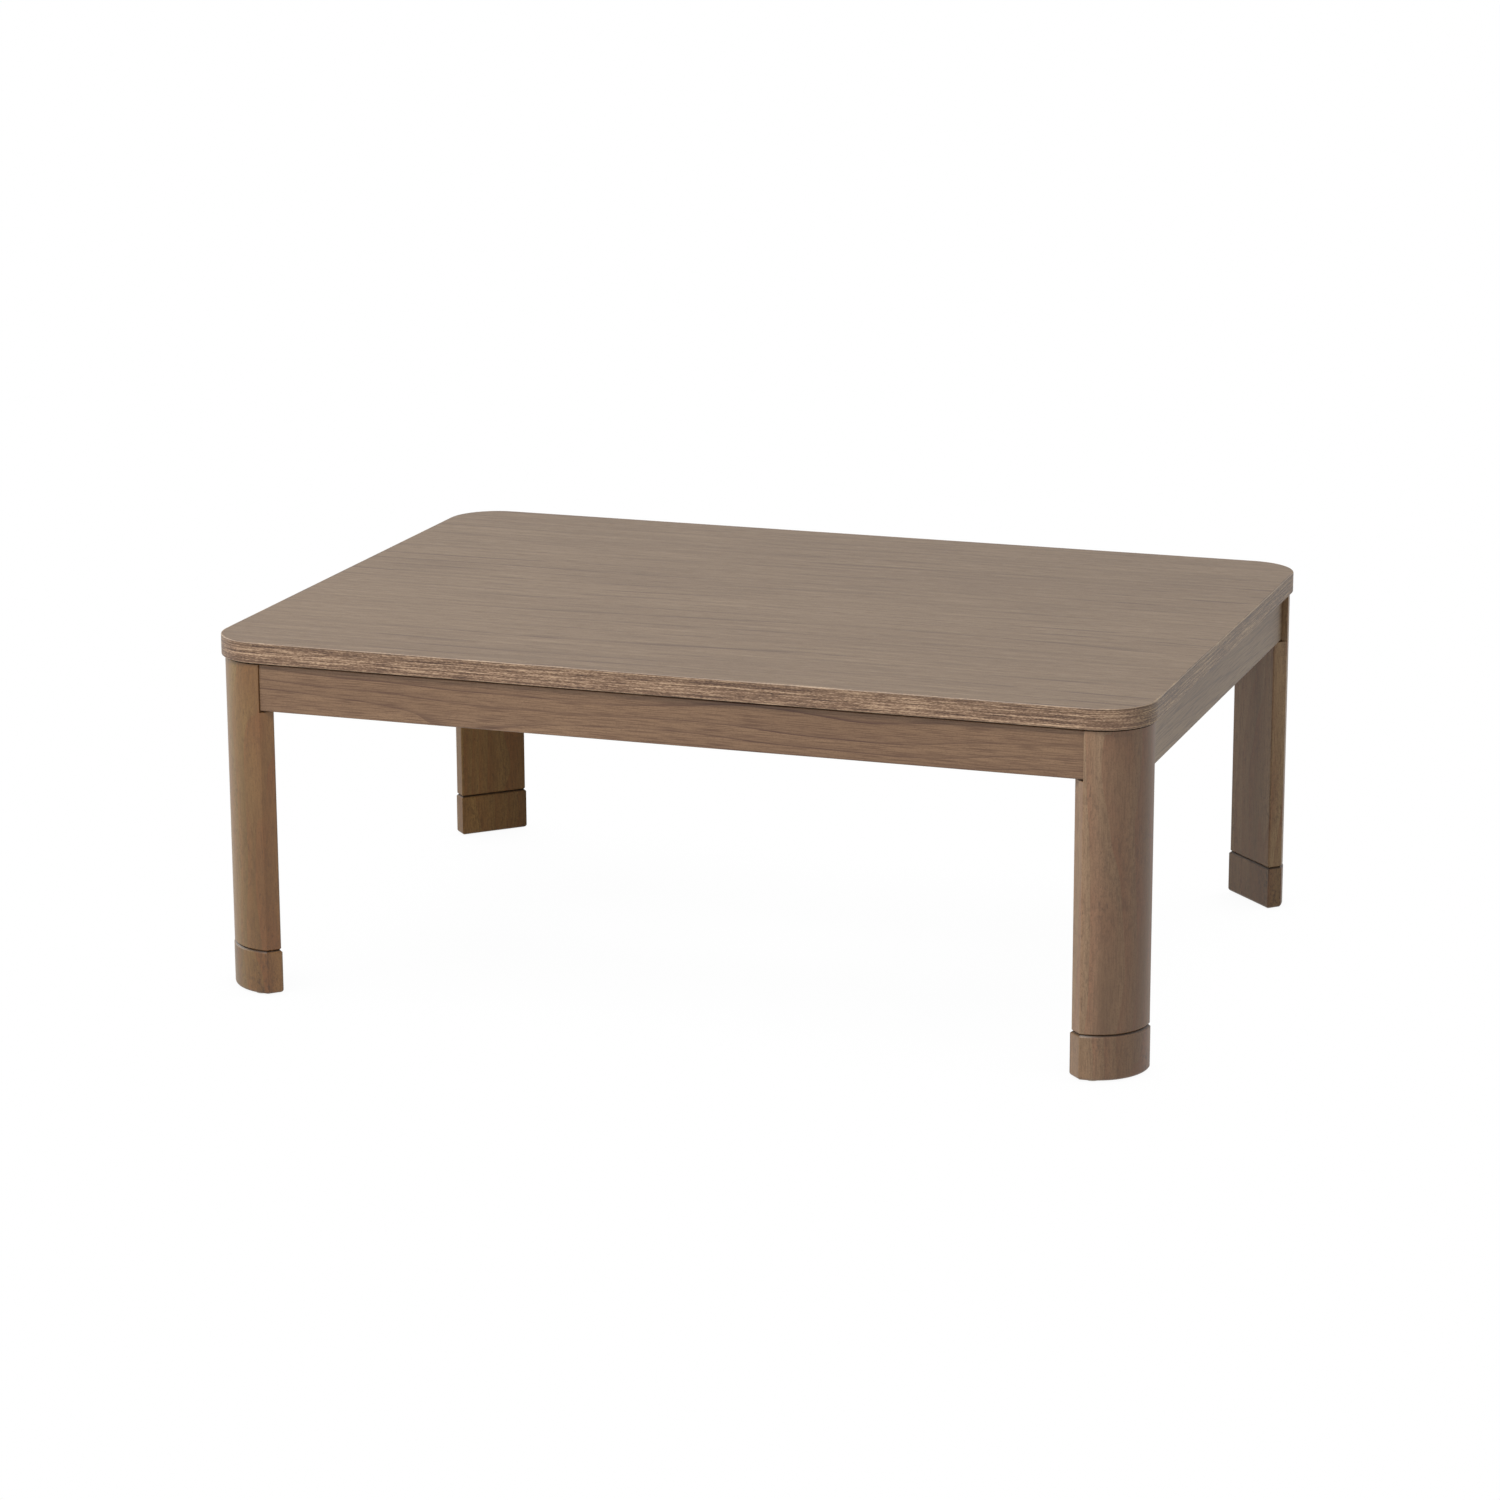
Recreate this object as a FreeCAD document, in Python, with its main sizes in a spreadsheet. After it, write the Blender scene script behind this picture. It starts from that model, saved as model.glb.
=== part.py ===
import FreeCAD, Part
import math
import os
import re

import Sketcher
from FreeCAD import Placement, Rotation, Vector

# Low heated table for a quilt: a loose board on a wooden frame, four D-shaped corner legs
# on extension feet, and an electric heater hung from slats in the middle of the frame.
# Frame of the model: origin on the floor under the middle of the board, X along the long
# side, Y towards the back, Z up. Lengths are in millimetres.

SIZES = (
    # whole table
    ("table_length", 1050, "left to right over the board"),
    ("table_depth", 750, "front to back over the board"),
    ("table_height", 400, "floor to the top of the board"),
    # loose board
    ("board_thick", 23, "thickness of the whole board"),
    ("board_corner", 58, "radius of the board's corners in plan"),
    ("board_arris", 1.3, "rounding of the rim's top and bottom edges"),
    ("band_thick", 2, "thickness of the edge band"),
    ("face_thick", 2.5, "thickness of the face sheet"),
    ("backing_thick", 2.5, "thickness of the backing sheet"),
    ("band_seam", 0.3, "gap in the edge band where its ends meet"),
    ("band_seam_back", 120, "from the back edge to that gap, on the right side"),
    ("board_gap", 2, "air between the board and the frame"),
    ("bumper_radius", 7, "rubber bumper under the board"),
    ("bumper_seat", 2, "depth of the bumper's seat in the leg top"),
    # rails
    ("rail_height", 52, "height of the rails"),
    ("long_rail_inset", 5.5, "board's side to the outer face of a long rail"),
    ("short_rail_inset", 9.5, "board's side to the outer face of a short rail"),
    ("rail_inner_inset", 27.5, "board's side to the inner face of every rail"),
    ("rail_round", 1.5, "rounding of the rails' long edges"),
    ("rail_end_gap", 0.5, "air between a rail's end and the leg's cheek"),
    # legs
    ("leg_inset", 3, "board's side to the leg's outer face"),
    ("leg_radius", 58, "radius of the leg's outer arc"),
    ("leg_straight", 2, "short flat past each end of the arc"),
    ("leg_flat", 17.5, "length of the slanting side flats"),
    ("leg_round", 2, "rounding of the leg's upright edges"),
    ("leg_shoulder_gap", 1.8, "air between a rail and the leg's shoulder"),
    ("leg_axis_inset", 33, "board's side to the leg's axis, both ways"),
    ("groove_bevel", 2.0, "bevel on each side of the groove above the foot"),
    # extension feet
    ("foot_height", 50, "floor to the joint between foot and leg"),
    ("foot_proud", 0.6, "how far the foot stands out past the leg"),
    ("foot_round", 4, "rounding of the foot's bottom edge"),
    ("foot_edge_round", 1, "rounding of the foot's upright edges"),
    ("foot_bore_radius", 8, "recess for the bolt's head"),
    ("foot_bore_depth", 14, "depth of that recess"),
    ("glide_proud", 1, "how far the glides hold the foot off the floor"),
    ("glide_seat", 1.5, "depth of the glide's seat in the foot"),
    ("glide_radius", 8, "radius of the glide"),
    ("glide_nail_radius", 1.2, "radius of the glide's nail"),
    ("glide_nail_length", 12, "length of the glide's nail"),
    ("glide_spread", 26, "leg's axis to each glide"),
    ("dowel_radius", 3, "radius of the locating dowels"),
    ("dowel_spread", 22, "leg's axis to each locating dowel"),
    ("dowel_in_foot", 13, "length of dowel in the foot"),
    ("dowel_in_leg", 12, "length of dowel in the leg"),
    # bolts and inserts
    ("bolt_radius", 4, "shank of the bolts"),
    ("bolt_hole_radius", 4.4, "clearance hole for the bolts"),
    ("socket_head_radius", 6.5, "head of a foot bolt"),
    ("socket_head_height", 8, "height of that head"),
    ("socket_key_width", 6, "across the flats of its hexagon socket"),
    ("socket_key_depth", 4, "depth of its hexagon socket"),
    ("foot_bolt_grip", 18, "length of foot bolt inside the insert"),
    ("insert_radius", 5.8, "outside of a threaded insert"),
    ("insert_length", 20, "length of a threaded insert"),
    ("insert_relief", 2, "hole left free past an insert"),
    ("hex_head_width", 13, "across the flats of a leg bolt's head"),
    ("hex_head_height", 5.5, "height of that head"),
    ("washer_radius", 8.5, "outside of a leg bolt's washer"),
    ("washer_thick", 1.6, "thickness of that washer"),
    ("leg_bolt_grip", 18, "length of leg bolt inside the insert"),
    ("leg_bolt_pitch", 22, "between the two bolts of a leg"),
    # corner brackets
    ("bracket_thick", 2.3, "thickness of the steel bracket"),
    ("bracket_height", 40, "height of the bracket"),
    ("bracket_flange", 42, "length of each flange along a rail"),
    ("bracket_screw_near", 13, "bend to the first screw"),
    ("bracket_screw_far", 31, "bend to the second screw"),
    ("screw_radius", 2, "shank of the wood screws"),
    ("screw_length", 15, "length of that shank"),
    ("screw_head_radius", 4.2, "head of the wood screws"),
    ("screw_head_height", 2.2, "height of that head"),
    # slats that carry the heater
    ("slat_overlap", 5, "how far a slat covers the housing's edge"),
    ("slat_width", 32, "width of a slat"),
    ("slat_height", 22, "height of a slat"),
    ("slat_round", 1.5, "rounding of a slat's long edges"),
    ("slat_dowel_radius", 4, "radius of the dowels at the slats' ends"),
    ("slat_dowel_reach", 14, "length of dowel on each side of a joint"),
    ("slat_dowel_spread", 9, "slat's middle line to each dowel"),
    # heater
    ("heater_width", 300, "outside of the square heater housing"),
    ("heater_depth", 39, "height of the heater housing"),
    ("heater_sheet", 1, "thickness of the housing's steel sheet"),
    ("heater_flange", 16, "width of the housing's top flange"),
    ("heater_screw_inset", 12, "slat's inner edge to a fixing screw"),
    ("heater_screw_spread", 100, "middle of the heater to a fixing screw"),
    ("guard_thick", 1, "thickness of the guard plate"),
    ("guard_margin", 0.5, "how much the guard stands inside the housing's outside"),
    ("slot_rim", 6, "guard left plain inside the bezel's window"),
    ("slot_bar", 8, "metal between the ends of two slots"),
    ("slot_web", 5, "metal between the sides of two slots"),
    ("bezel_sheet", 1.2, "thickness of the bezel round the guard"),
    ("bezel_fit", 0.2, "air between bezel and housing"),
    ("bezel_height", 12, "height of the bezel"),
    ("bezel_lip", 12, "how far the bezel reaches under the guard"),
    ("bezel_screw_rise", 7, "bezel's bottom to its screws"),
    ("bezel_screw_radius", 1.5, "shank of the bezel's screws"),
    ("bezel_screw_length", 5, "length of that shank"),
    ("bezel_head_radius", 3, "head of the bezel's screws"),
    ("bezel_head_height", 1.5, "height of that head"),
    ("reflector_end_room", 18, "housing's wall to each end of the reflector"),
    ("reflector_side_room", 5, "housing's wall to the reflector's lower edges"),
    ("reflector_slope", 50, "width of the reflector's slanting sides"),
    ("reflector_drop", 22, "height of the reflector's slanting sides"),
    ("reflector_sheet", 0.8, "thickness of the reflector"),
    ("reflector_headroom", 12, "air above the reflector"),
    ("tube_radius", 5.25, "outside of a quartz tube"),
    ("tube_wall", 1, "wall of a quartz tube"),
    ("tube_spread", 50, "heater's middle line to each tube"),
    ("tube_drop", 11, "reflector's flat to the tubes' axis"),
    ("tube_seat", 6, "length of tube inside its end cap"),
    ("element_radius", 2, "radius of the heating element"),
    ("element_out", 2, "how far the element comes out of its cap"),
    ("cap_radius", 8, "radius of the ceramic end caps"),
    ("cap_length", 16, "length of an end cap"),
    ("cap_inside", 7, "length of cap on the inner side of its bracket"),
    ("plate_thick", 1.2, "thickness of the tube brackets"),
    ("plate_side_room", 4, "housing's wall to the ends of a tube bracket"),
    ("plate_foot", 2, "air under the tube brackets"),
    ("lead_hole_radius", 3, "hole for a lead in a tube bracket"),
    ("bus_thick", 3, "thickness of the bus bars"),
    ("bus_height", 6, "height of the bus bars"),
    ("bus_reach", 6, "how far a bus bar runs past a tube's axis"),
    ("thermostat_along", 66, "thermostat's middle, to the right"),
    ("thermostat_back", 30, "thermostat's middle, to the back"),
    ("thermostat_width", 16, "thermostat's width and depth"),
    ("thermostat_height", 9, "thermostat's height"),
    ("fuse_along", 36, "thermal fuse's middle, to the right"),
    ("fuse_back", 44, "thermal fuse's middle, to the back"),
    ("fuse_width", 12, "thermal fuse's width"),
    ("fuse_depth", 16, "thermal fuse's depth"),
    ("fuse_height", 6, "thermal fuse's height"),
    # power inlet in the heater's back wall
    ("inlet_along", 60, "inlet's middle, to the right"),
    ("inlet_width", 34, "width of the inlet's body"),
    ("inlet_height", 22, "height of the inlet's body"),
    ("inlet_length", 18, "length of the inlet's body inside the wall"),
    ("inlet_drop", 16, "housing's top to the inlet's axis"),
    ("inlet_lip", 2, "how far the inlet's flange overlaps the wall"),
    ("inlet_lip_thick", 2, "thickness of that flange"),
    ("inlet_wall", 3, "wall round the inlet's recess"),
    ("inlet_recess", 14, "depth of the inlet's recess"),
    ("pin_radius", 2, "radius of the inlet's pins"),
    ("pin_tail_radius", 1.5, "pins where they pass the inlet's back"),
    ("pin_spread", 6.5, "inlet's middle to each pin"),
    ("pin_setback", 2, "from the recess's mouth to the pins' tips"),
    ("pin_tail", 4, "length of pin behind the inlet"),
    ("lead_radius", 1.2, "radius of the lead wires"),
    ("lead_drop", 5, "housing's ceiling to the leads' axis"),
    ("lead_straight", 14, "straight start of a lead at a pin"),
    ("lead_climb", 16, "stretch over which a lead climbs"),
    # clearances
    ("fit_gap", 0.05, "air round a fixed pin, screw or insert"),
    ("slide_gap", 0.3, "air round a pin that slides out"),
    ("thread_gap", 0.08, "air between a bolt and its insert"),
    ("cut_overrun", 5, "how far a cut runs past the material"),
)

# counts, which no size sets
SLOT_COLUMNS = 3
SLOT_ROWS = 20

# how close two lengths are taken as the same
NEAR = 1e-5

NAMES = {name for name, size, note in SIZES}

# Heights and places that follow from the sizes, as formulas of the sheet's names.
BOARD_BOTTOM = "(table_height - board_thick)"
FRAME_TOP = f"({BOARD_BOTTOM} - board_gap)"
RAIL_BOTTOM = f"({FRAME_TOP} - rail_height)"
RAIL_MIDDLE = f"({FRAME_TOP} - rail_height / 2)"
LEG_SHOULDER = f"({RAIL_BOTTOM} - leg_shoulder_gap)"
ARC_CENTRE = "(leg_inset + leg_radius)"
LEG_REACH = f"({ARC_CENTRE} + leg_straight)"
LEG_FACE = f"(({LEG_REACH} + leg_inset) / sqrt(2) + leg_flat)"
BEND = f"({LEG_FACE} * sqrt(2) - rail_inner_inset)"
SLAT_BOTTOM = f"({FRAME_TOP} - slat_height)"
SLAT_MIDDLE = f"({FRAME_TOP} - slat_height / 2)"
SLAT_EDGE = "(heater_width / 2 - slat_overlap)"
SLAT_LINE = f"({SLAT_EDGE} + slat_width / 2)"
SLAT_END = "(table_depth / 2 - rail_inner_inset)"
HEATER_CEILING = f"({SLAT_BOTTOM} - heater_sheet)"
HEATER_BOTTOM = f"({SLAT_BOTTOM} - heater_depth)"
GUARD_BOTTOM = f"({HEATER_BOTTOM} - guard_thick)"
BEZEL_BOTTOM = f"({GUARD_BOTTOM} - bezel_sheet)"
REFLECTOR_TOP = f"({HEATER_CEILING} - reflector_headroom)"
TUBE_LEVEL = f"({REFLECTOR_TOP} - tube_drop)"
GUARD_WINDOW = "(heater_width - 2 * bezel_lip)"
SLOT_FIELD = f"({GUARD_WINDOW} - 2 * slot_rim)"
PLATE_PLACE = "(heater_width / 2 - reflector_end_room)"
PLATE_REACH = "(heater_width / 2 - plate_side_room)"
CAP_START = f"({PLATE_PLACE} + plate_thick - cap_inside)"
CAP_END = f"({CAP_START} + cap_length)"
ELEMENT_END = f"({CAP_END} + element_out)"
BUS_MIDDLE = f"({ELEMENT_END} + bus_thick / 2)"
LEAD_LEVEL = f"({HEATER_CEILING} - lead_drop)"
INLET_LEVEL = f"({SLAT_BOTTOM} - inlet_drop)"
INLET_END = "(heater_width / 2 - inlet_length)"
PIN_END = f"({INLET_END} - pin_tail)"

# name, side of X, side of Y, and the turn that brings the first corner there
CORNERS = (
    ("front_left", -1, -1, 0),
    ("front_right", 1, -1, 90),
    ("back_right", 1, 1, 180),
    ("back_left", -1, 1, 270),
)

UP = Vector(0, 0, 1)
DIRECTIONS = {
    "z": Rotation(),
    "x": Rotation(Vector(0, 1, 0), 90),
    "-x": Rotation(Vector(0, 1, 0), -90),
    "y": Rotation(Vector(1, 0, 0), -90),
    "-y": Rotation(Vector(1, 0, 0), 90),
}

DOC = FreeCAD.newDocument("HeatedTable")
SHEET = DOC.addObject("Spreadsheet::Sheet", "Sizes")
PIECES = []


def fill_sheet():
    for row, (name, size, note) in enumerate(SIZES, 1):
        SHEET.set(f"A{row}", note)
        SHEET.set(f"B{row}", str(size))
        SHEET.setAlias(f"B{row}", name)
    DOC.recompute()


def sized(formula):
    """The formula with the sheet's name in front of each of its aliases."""
    word = re.compile(r"[a-z]+(?:_[a-z]+)+")
    return word.sub(lambda found: "Sizes." + found[0] if found[0] in NAMES else found[0], formula)


def bind(thing, setting, formula):
    thing.setExpression(setting, sized(formula))


def worth(formula):
    """The formula's value as a plain number."""
    result = SHEET.evalExpression(sized(formula))
    return float(getattr(result, "Value", result))


def place(thing, x, y, z, direction="z"):
    thing.Placement = Placement(Vector(), DIRECTIONS[direction])
    bind(thing, "Placement.Base.x", x)
    bind(thing, "Placement.Base.y", y)
    bind(thing, "Placement.Base.z", z)


# Sketches and the features that use them

def new_sketch(body, name, level, plane="XY_Plane"):
    sketch = body.newObject("Sketcher::SketchObject", name)
    base = [item for item in body.Origin.OriginFeatures if item.Role == plane][0]
    sketch.AttachmentSupport = [(base, "")]
    sketch.MapMode = "FlatFace"
    bind(sketch, "AttachmentOffset.Base.z", level)
    return sketch


def pin_point(sketch, edge, end, x, y):
    """Holds one point of a sketch at two formulas."""
    for axis, formula in (("X", x), ("Y", y)):
        index = sketch.addConstraint(
            Sketcher.Constraint("Distance" + axis, -1, 1, edge, end, worth(formula)))
        bind(sketch, f"Constraints[{index}]", formula)


def draw(sketch, path):
    """Closed outline. A point with two more formulas starts an arc round that centre."""
    first = sketch.GeometryCount
    spots = [Vector(worth(point[0]), worth(point[1]), 0) for point in path]
    for index, point in enumerate(path):
        start = spots[index]
        end = spots[(index + 1) % len(path)]
        if len(point) == 2:
            sketch.addGeometry(Part.LineSegment(start, end))
            continue
        centre = Vector(worth(point[2]), worth(point[3]), 0)
        from_angle = math.atan2(start.y - centre.y, start.x - centre.x)
        to_angle = math.atan2(end.y - centre.y, end.x - centre.x)
        circle = Part.Circle(centre, UP, (start - centre).Length)
        sketch.addGeometry(Part.ArcOfCircle(circle, from_angle, to_angle))
    for index, point in enumerate(path):
        edge = first + index
        after = first + (index + 1) % len(path)
        sketch.addConstraint(Sketcher.Constraint("Coincident", edge, 2, after, 1))
        pin_point(sketch, edge, 1, point[0], point[1])
        if len(point) == 4:
            hold = sketch.addConstraint(
                Sketcher.Constraint("DistanceX", -1, 1, edge, 3, worth(point[2])))
            bind(sketch, f"Constraints[{hold}]", point[2])


def slab(name, paths, level, height, plane="XY_Plane"):
    """A body padded upwards from the outlines drawn at a level."""
    body = DOC.addObject("PartDesign::Body", name)
    sketch = new_sketch(body, name + "_outline", level, plane)
    for path in paths:
        draw(sketch, path)
    pad = body.newObject("PartDesign::Pad", name + "_pad")
    pad.Profile = sketch
    bind(pad, "Length", height)
    DOC.recompute()
    return body


def pocket(body, name, path, level, depth):
    """Cuts an outline downwards from a level, and makes sure that it cut."""
    before = body.Shape.Volume
    sketch = new_sketch(body, name + "_outline", level)
    draw(sketch, path)
    cut = body.newObject("PartDesign::Pocket", name)
    cut.Profile = sketch
    bind(cut, "Length", depth)
    DOC.recompute()
    if body.Shape.Volume >= before:
        raise RuntimeError(name + " cuts nothing")


def edges_where(shape, test):
    return [f"Edge{index}" for index, edge in enumerate(shape.Edges, 1) if test(edge)]


def soften(body, name, radius, test):
    """Rounds the edges that pass the test."""
    base = body.Tip
    fillet = body.newObject("PartDesign::Fillet", name)
    fillet.Base = (base, edges_where(base.Shape, test))
    bind(fillet, "Radius", radius)
    DOC.recompute()


def bevel(body, name, size, test):
    base = body.Tip
    chamfer = body.newObject("PartDesign::Chamfer", name)
    chamfer.Base = (base, edges_where(base.Shape, test))
    bind(chamfer, "Size", size)
    DOC.recompute()


def is_upright(edge):
    ends = [vertex.Point for vertex in edge.Vertexes]
    return len(ends) == 2 and (ends[0] - ends[1]).cross(UP).Length < NEAR


def lies_at(edge, height):
    box = edge.BoundBox
    return abs(box.ZMin - height) < NEAR and abs(box.ZMax - height) < NEAR


def rectangle(low_x, high_x, low_y, high_y):
    return [(low_x, low_y), (high_x, low_y), (high_x, high_y), (low_x, high_y)]


def rounded_rectangle(half_x, half_y, radius):
    """Outline with four quarter arcs, drawn anticlockwise from the front right."""
    path = []
    for side_x, side_y in ((1, -1), (1, 1), (-1, 1), (-1, -1)):
        centre = (f"{side_x} * ({half_x} - {radius})", f"{side_y} * ({half_y} - {radius})")
        on_y_side = (centre[0], f"{side_y} * {half_y}")
        on_x_side = (f"{side_x} * {half_x}", centre[1])
        start, end = (on_y_side, on_x_side) if side_x * side_y < 0 else (on_x_side, on_y_side)
        path.append(start + centre)
        path.append(end)
    return path


# Solids made from primitives

def box(name, low, high):
    """Box between two corners, each given by three formulas."""
    thing = DOC.addObject("Part::Box", name)
    for setting, start, end in zip(("Length", "Width", "Height"), low, high):
        bind(thing, setting, f"({end}) - ({start})")
    place(thing, *low)
    return thing


def square_box(name, half, low, high):
    """Box on a square about the Z axis, between two heights."""
    return box(name, (f"-({half})", f"-({half})", low), (half, half, high))


def rod(name, radius, length, x, y, z, direction="z"):
    thing = DOC.addObject("Part::Cylinder", name)
    bind(thing, "Radius", radius)
    bind(thing, "Height", length)
    place(thing, x, y, z, direction)
    return thing


def hexagon(name, width, length, x, y, z, direction="z"):
    thing = DOC.addObject("Part::Prism", name)
    thing.Polygon = 6
    bind(thing, "Circumradius", f"{width} / sqrt(3)")
    bind(thing, "Height", length)
    place(thing, x, y, z, direction)
    return thing


def group(name, pieces):
    thing = DOC.addObject("Part::Compound", name)
    thing.Links = pieces
    return thing


def joined(name, pieces):
    thing = DOC.addObject("Part::MultiFuse", name)
    thing.Shapes = pieces
    return thing


def drilled(name, base, tools):
    """The base without the tools."""
    thing = DOC.addObject("Part::Cut", name)
    thing.Base = base
    thing.Tool = tools[0] if len(tools) == 1 else group(name + "_tools", tools)
    return thing


def turned(name, pieces):
    """Pieces drawn along X, turned to lie along the corner's diagonal."""
    thing = group(name, pieces)
    thing.Placement = Placement(Vector(), Rotation(UP, 45))
    return thing


def at_corner(name, pieces, corner):
    """Pieces drawn for the first corner of the board, moved and turned to another."""
    side, side_x, side_y, angle = corner
    thing = group(f"{name}_{side}", pieces)
    thing.Placement = Placement(Vector(), Rotation(UP, angle))
    bind(thing, "Placement.Base.x", f"{side_x} * table_length / 2")
    bind(thing, "Placement.Base.y", f"{side_y} * table_depth / 2")
    return thing


def at_all_corners(name, pieces):
    return group(name, [at_corner(name, pieces, corner) for corner in CORNERS])


def keep(label, thing):
    """Marks an object as one of the sub-parts that are written."""
    thing.Label = label
    PIECES.append(thing)


# Loose board

def make_board():
    half_x = "(table_length / 2 - band_thick)"
    half_y = "(table_depth / 2 - band_thick)"
    inner = rounded_rectangle(half_x, half_y, "(board_corner - band_thick)")
    outer = rounded_rectangle("(table_length / 2)", "(table_depth / 2)", "board_corner")
    core_level = f"{BOARD_BOTTOM} + backing_thick"
    core_height = "board_thick - backing_thick - face_thick"
    keep("top_core", slab("core", [inner], core_level, core_height))
    keep("top_face_sheet", slab("face", [inner], "table_height - face_thick", "face_thick"))
    keep("top_backing_sheet", slab("backing", [inner], BOARD_BOTTOM, "backing_thick"))
    band = slab("band", [outer], BOARD_BOTTOM, "board_thick")
    soften(band, "band_arris", "board_arris", lambda edge: not is_upright(edge))
    pocket(band, "band_hollow", inner, "table_height + cut_overrun", "board_thick + 2 * cut_overrun")
    seam_middle = "table_depth / 2 - band_seam_back"
    seam = rectangle(
        "table_length / 2 - band_thick - cut_overrun", "table_length / 2 + cut_overrun",
        f"{seam_middle} - band_seam / 2", f"{seam_middle} + band_seam / 2")
    pocket(band, "band_seam_cut", seam, "table_height + cut_overrun", "board_thick + 2 * cut_overrun")
    keep("top_edge_band", band)


# Legs and feet, drawn for the corner at the origin with the board's sides on X and Y

def leg_outline(grow):
    """D-shaped section, grown outwards all round."""
    near = f"(leg_inset - {grow})"
    arc_end = f"({LEG_REACH} + {grow} * tan(22.5))"
    flat_end = f"({LEG_REACH} + leg_flat / sqrt(2) + {grow} * sqrt(2))"
    flat_rise = "(leg_inset + leg_flat / sqrt(2))"
    return [
        (near, ARC_CENTRE, ARC_CENTRE, ARC_CENTRE),
        (ARC_CENTRE, near),
        (arc_end, near),
        (flat_end, flat_rise),
        (flat_rise, flat_end),
        (near, arc_end),
    ]


def make_leg():
    leg = slab("leg", [leg_outline("0")], "foot_height", f"{FRAME_TOP} - foot_height")
    soften(leg, "leg_edges", "leg_round", lambda edge: is_upright(edge) and not on_arc_end(edge))
    far = f"({LEG_REACH} + leg_flat + cut_overrun)"
    notch = [
        (LEG_REACH, "-cut_overrun"), (far, "-cut_overrun"), (far, far),
        ("-cut_overrun", far), ("-cut_overrun", LEG_REACH), (LEG_REACH, LEG_REACH),
    ]
    pocket(leg, "leg_notch", notch, FRAME_TOP, f"{FRAME_TOP} - {LEG_SHOULDER}")
    bevel(leg, "leg_groove", "groove_bevel", lambda edge: lies_at(edge, worth("foot_height")))
    axis = ("leg_axis_inset", "leg_axis_inset")
    tools = [
        rod("leg_foot_insert_hole", "insert_radius + fit_gap", "insert_length + insert_relief + cut_overrun",
            *axis, "foot_height - cut_overrun"),
        rod("leg_bumper_seat", "bumper_radius + fit_gap", "bumper_seat + cut_overrun",
            *axis, f"{FRAME_TOP} - bumper_seat"),
    ]
    for side in (-1, 1):
        tools.append(rod(
            f"leg_dowel_hole{side}", "dowel_radius + slide_gap", "dowel_in_leg + slide_gap + cut_overrun",
            *beside_axis(side, "dowel_spread"), "foot_height - cut_overrun"))
    across = []
    for side in (-1, 1):
        across.append(rod(
            f"leg_bolt_hole{side}", "insert_radius + fit_gap",
            "insert_length + insert_relief + cut_overrun",
            f"{LEG_FACE} - insert_length - insert_relief", "0", bolt_level(side), "x"))
    tools.append(turned("leg_bolt_holes", across))
    master = drilled("leg_master", leg, tools)
    for corner in CORNERS:
        keep("leg_" + corner[0], at_corner("leg", [master], corner))


def on_arc_end(edge):
    """True for the upright edges where the arc runs into its short flats."""
    spot = edge.Vertexes[0].Point
    centre = worth(ARC_CENTRE)
    return abs(spot.x - centre) < NEAR or abs(spot.y - centre) < NEAR


def beside_axis(side, spread):
    """Place beside the leg's axis, along the leg's inner face."""
    shift = f"{side} * {spread} / sqrt(2)"
    return f"leg_axis_inset + {shift}", f"leg_axis_inset - ({shift})"


def bolt_level(side):
    return f"{RAIL_MIDDLE} + {side} * leg_bolt_pitch / 2"


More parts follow.
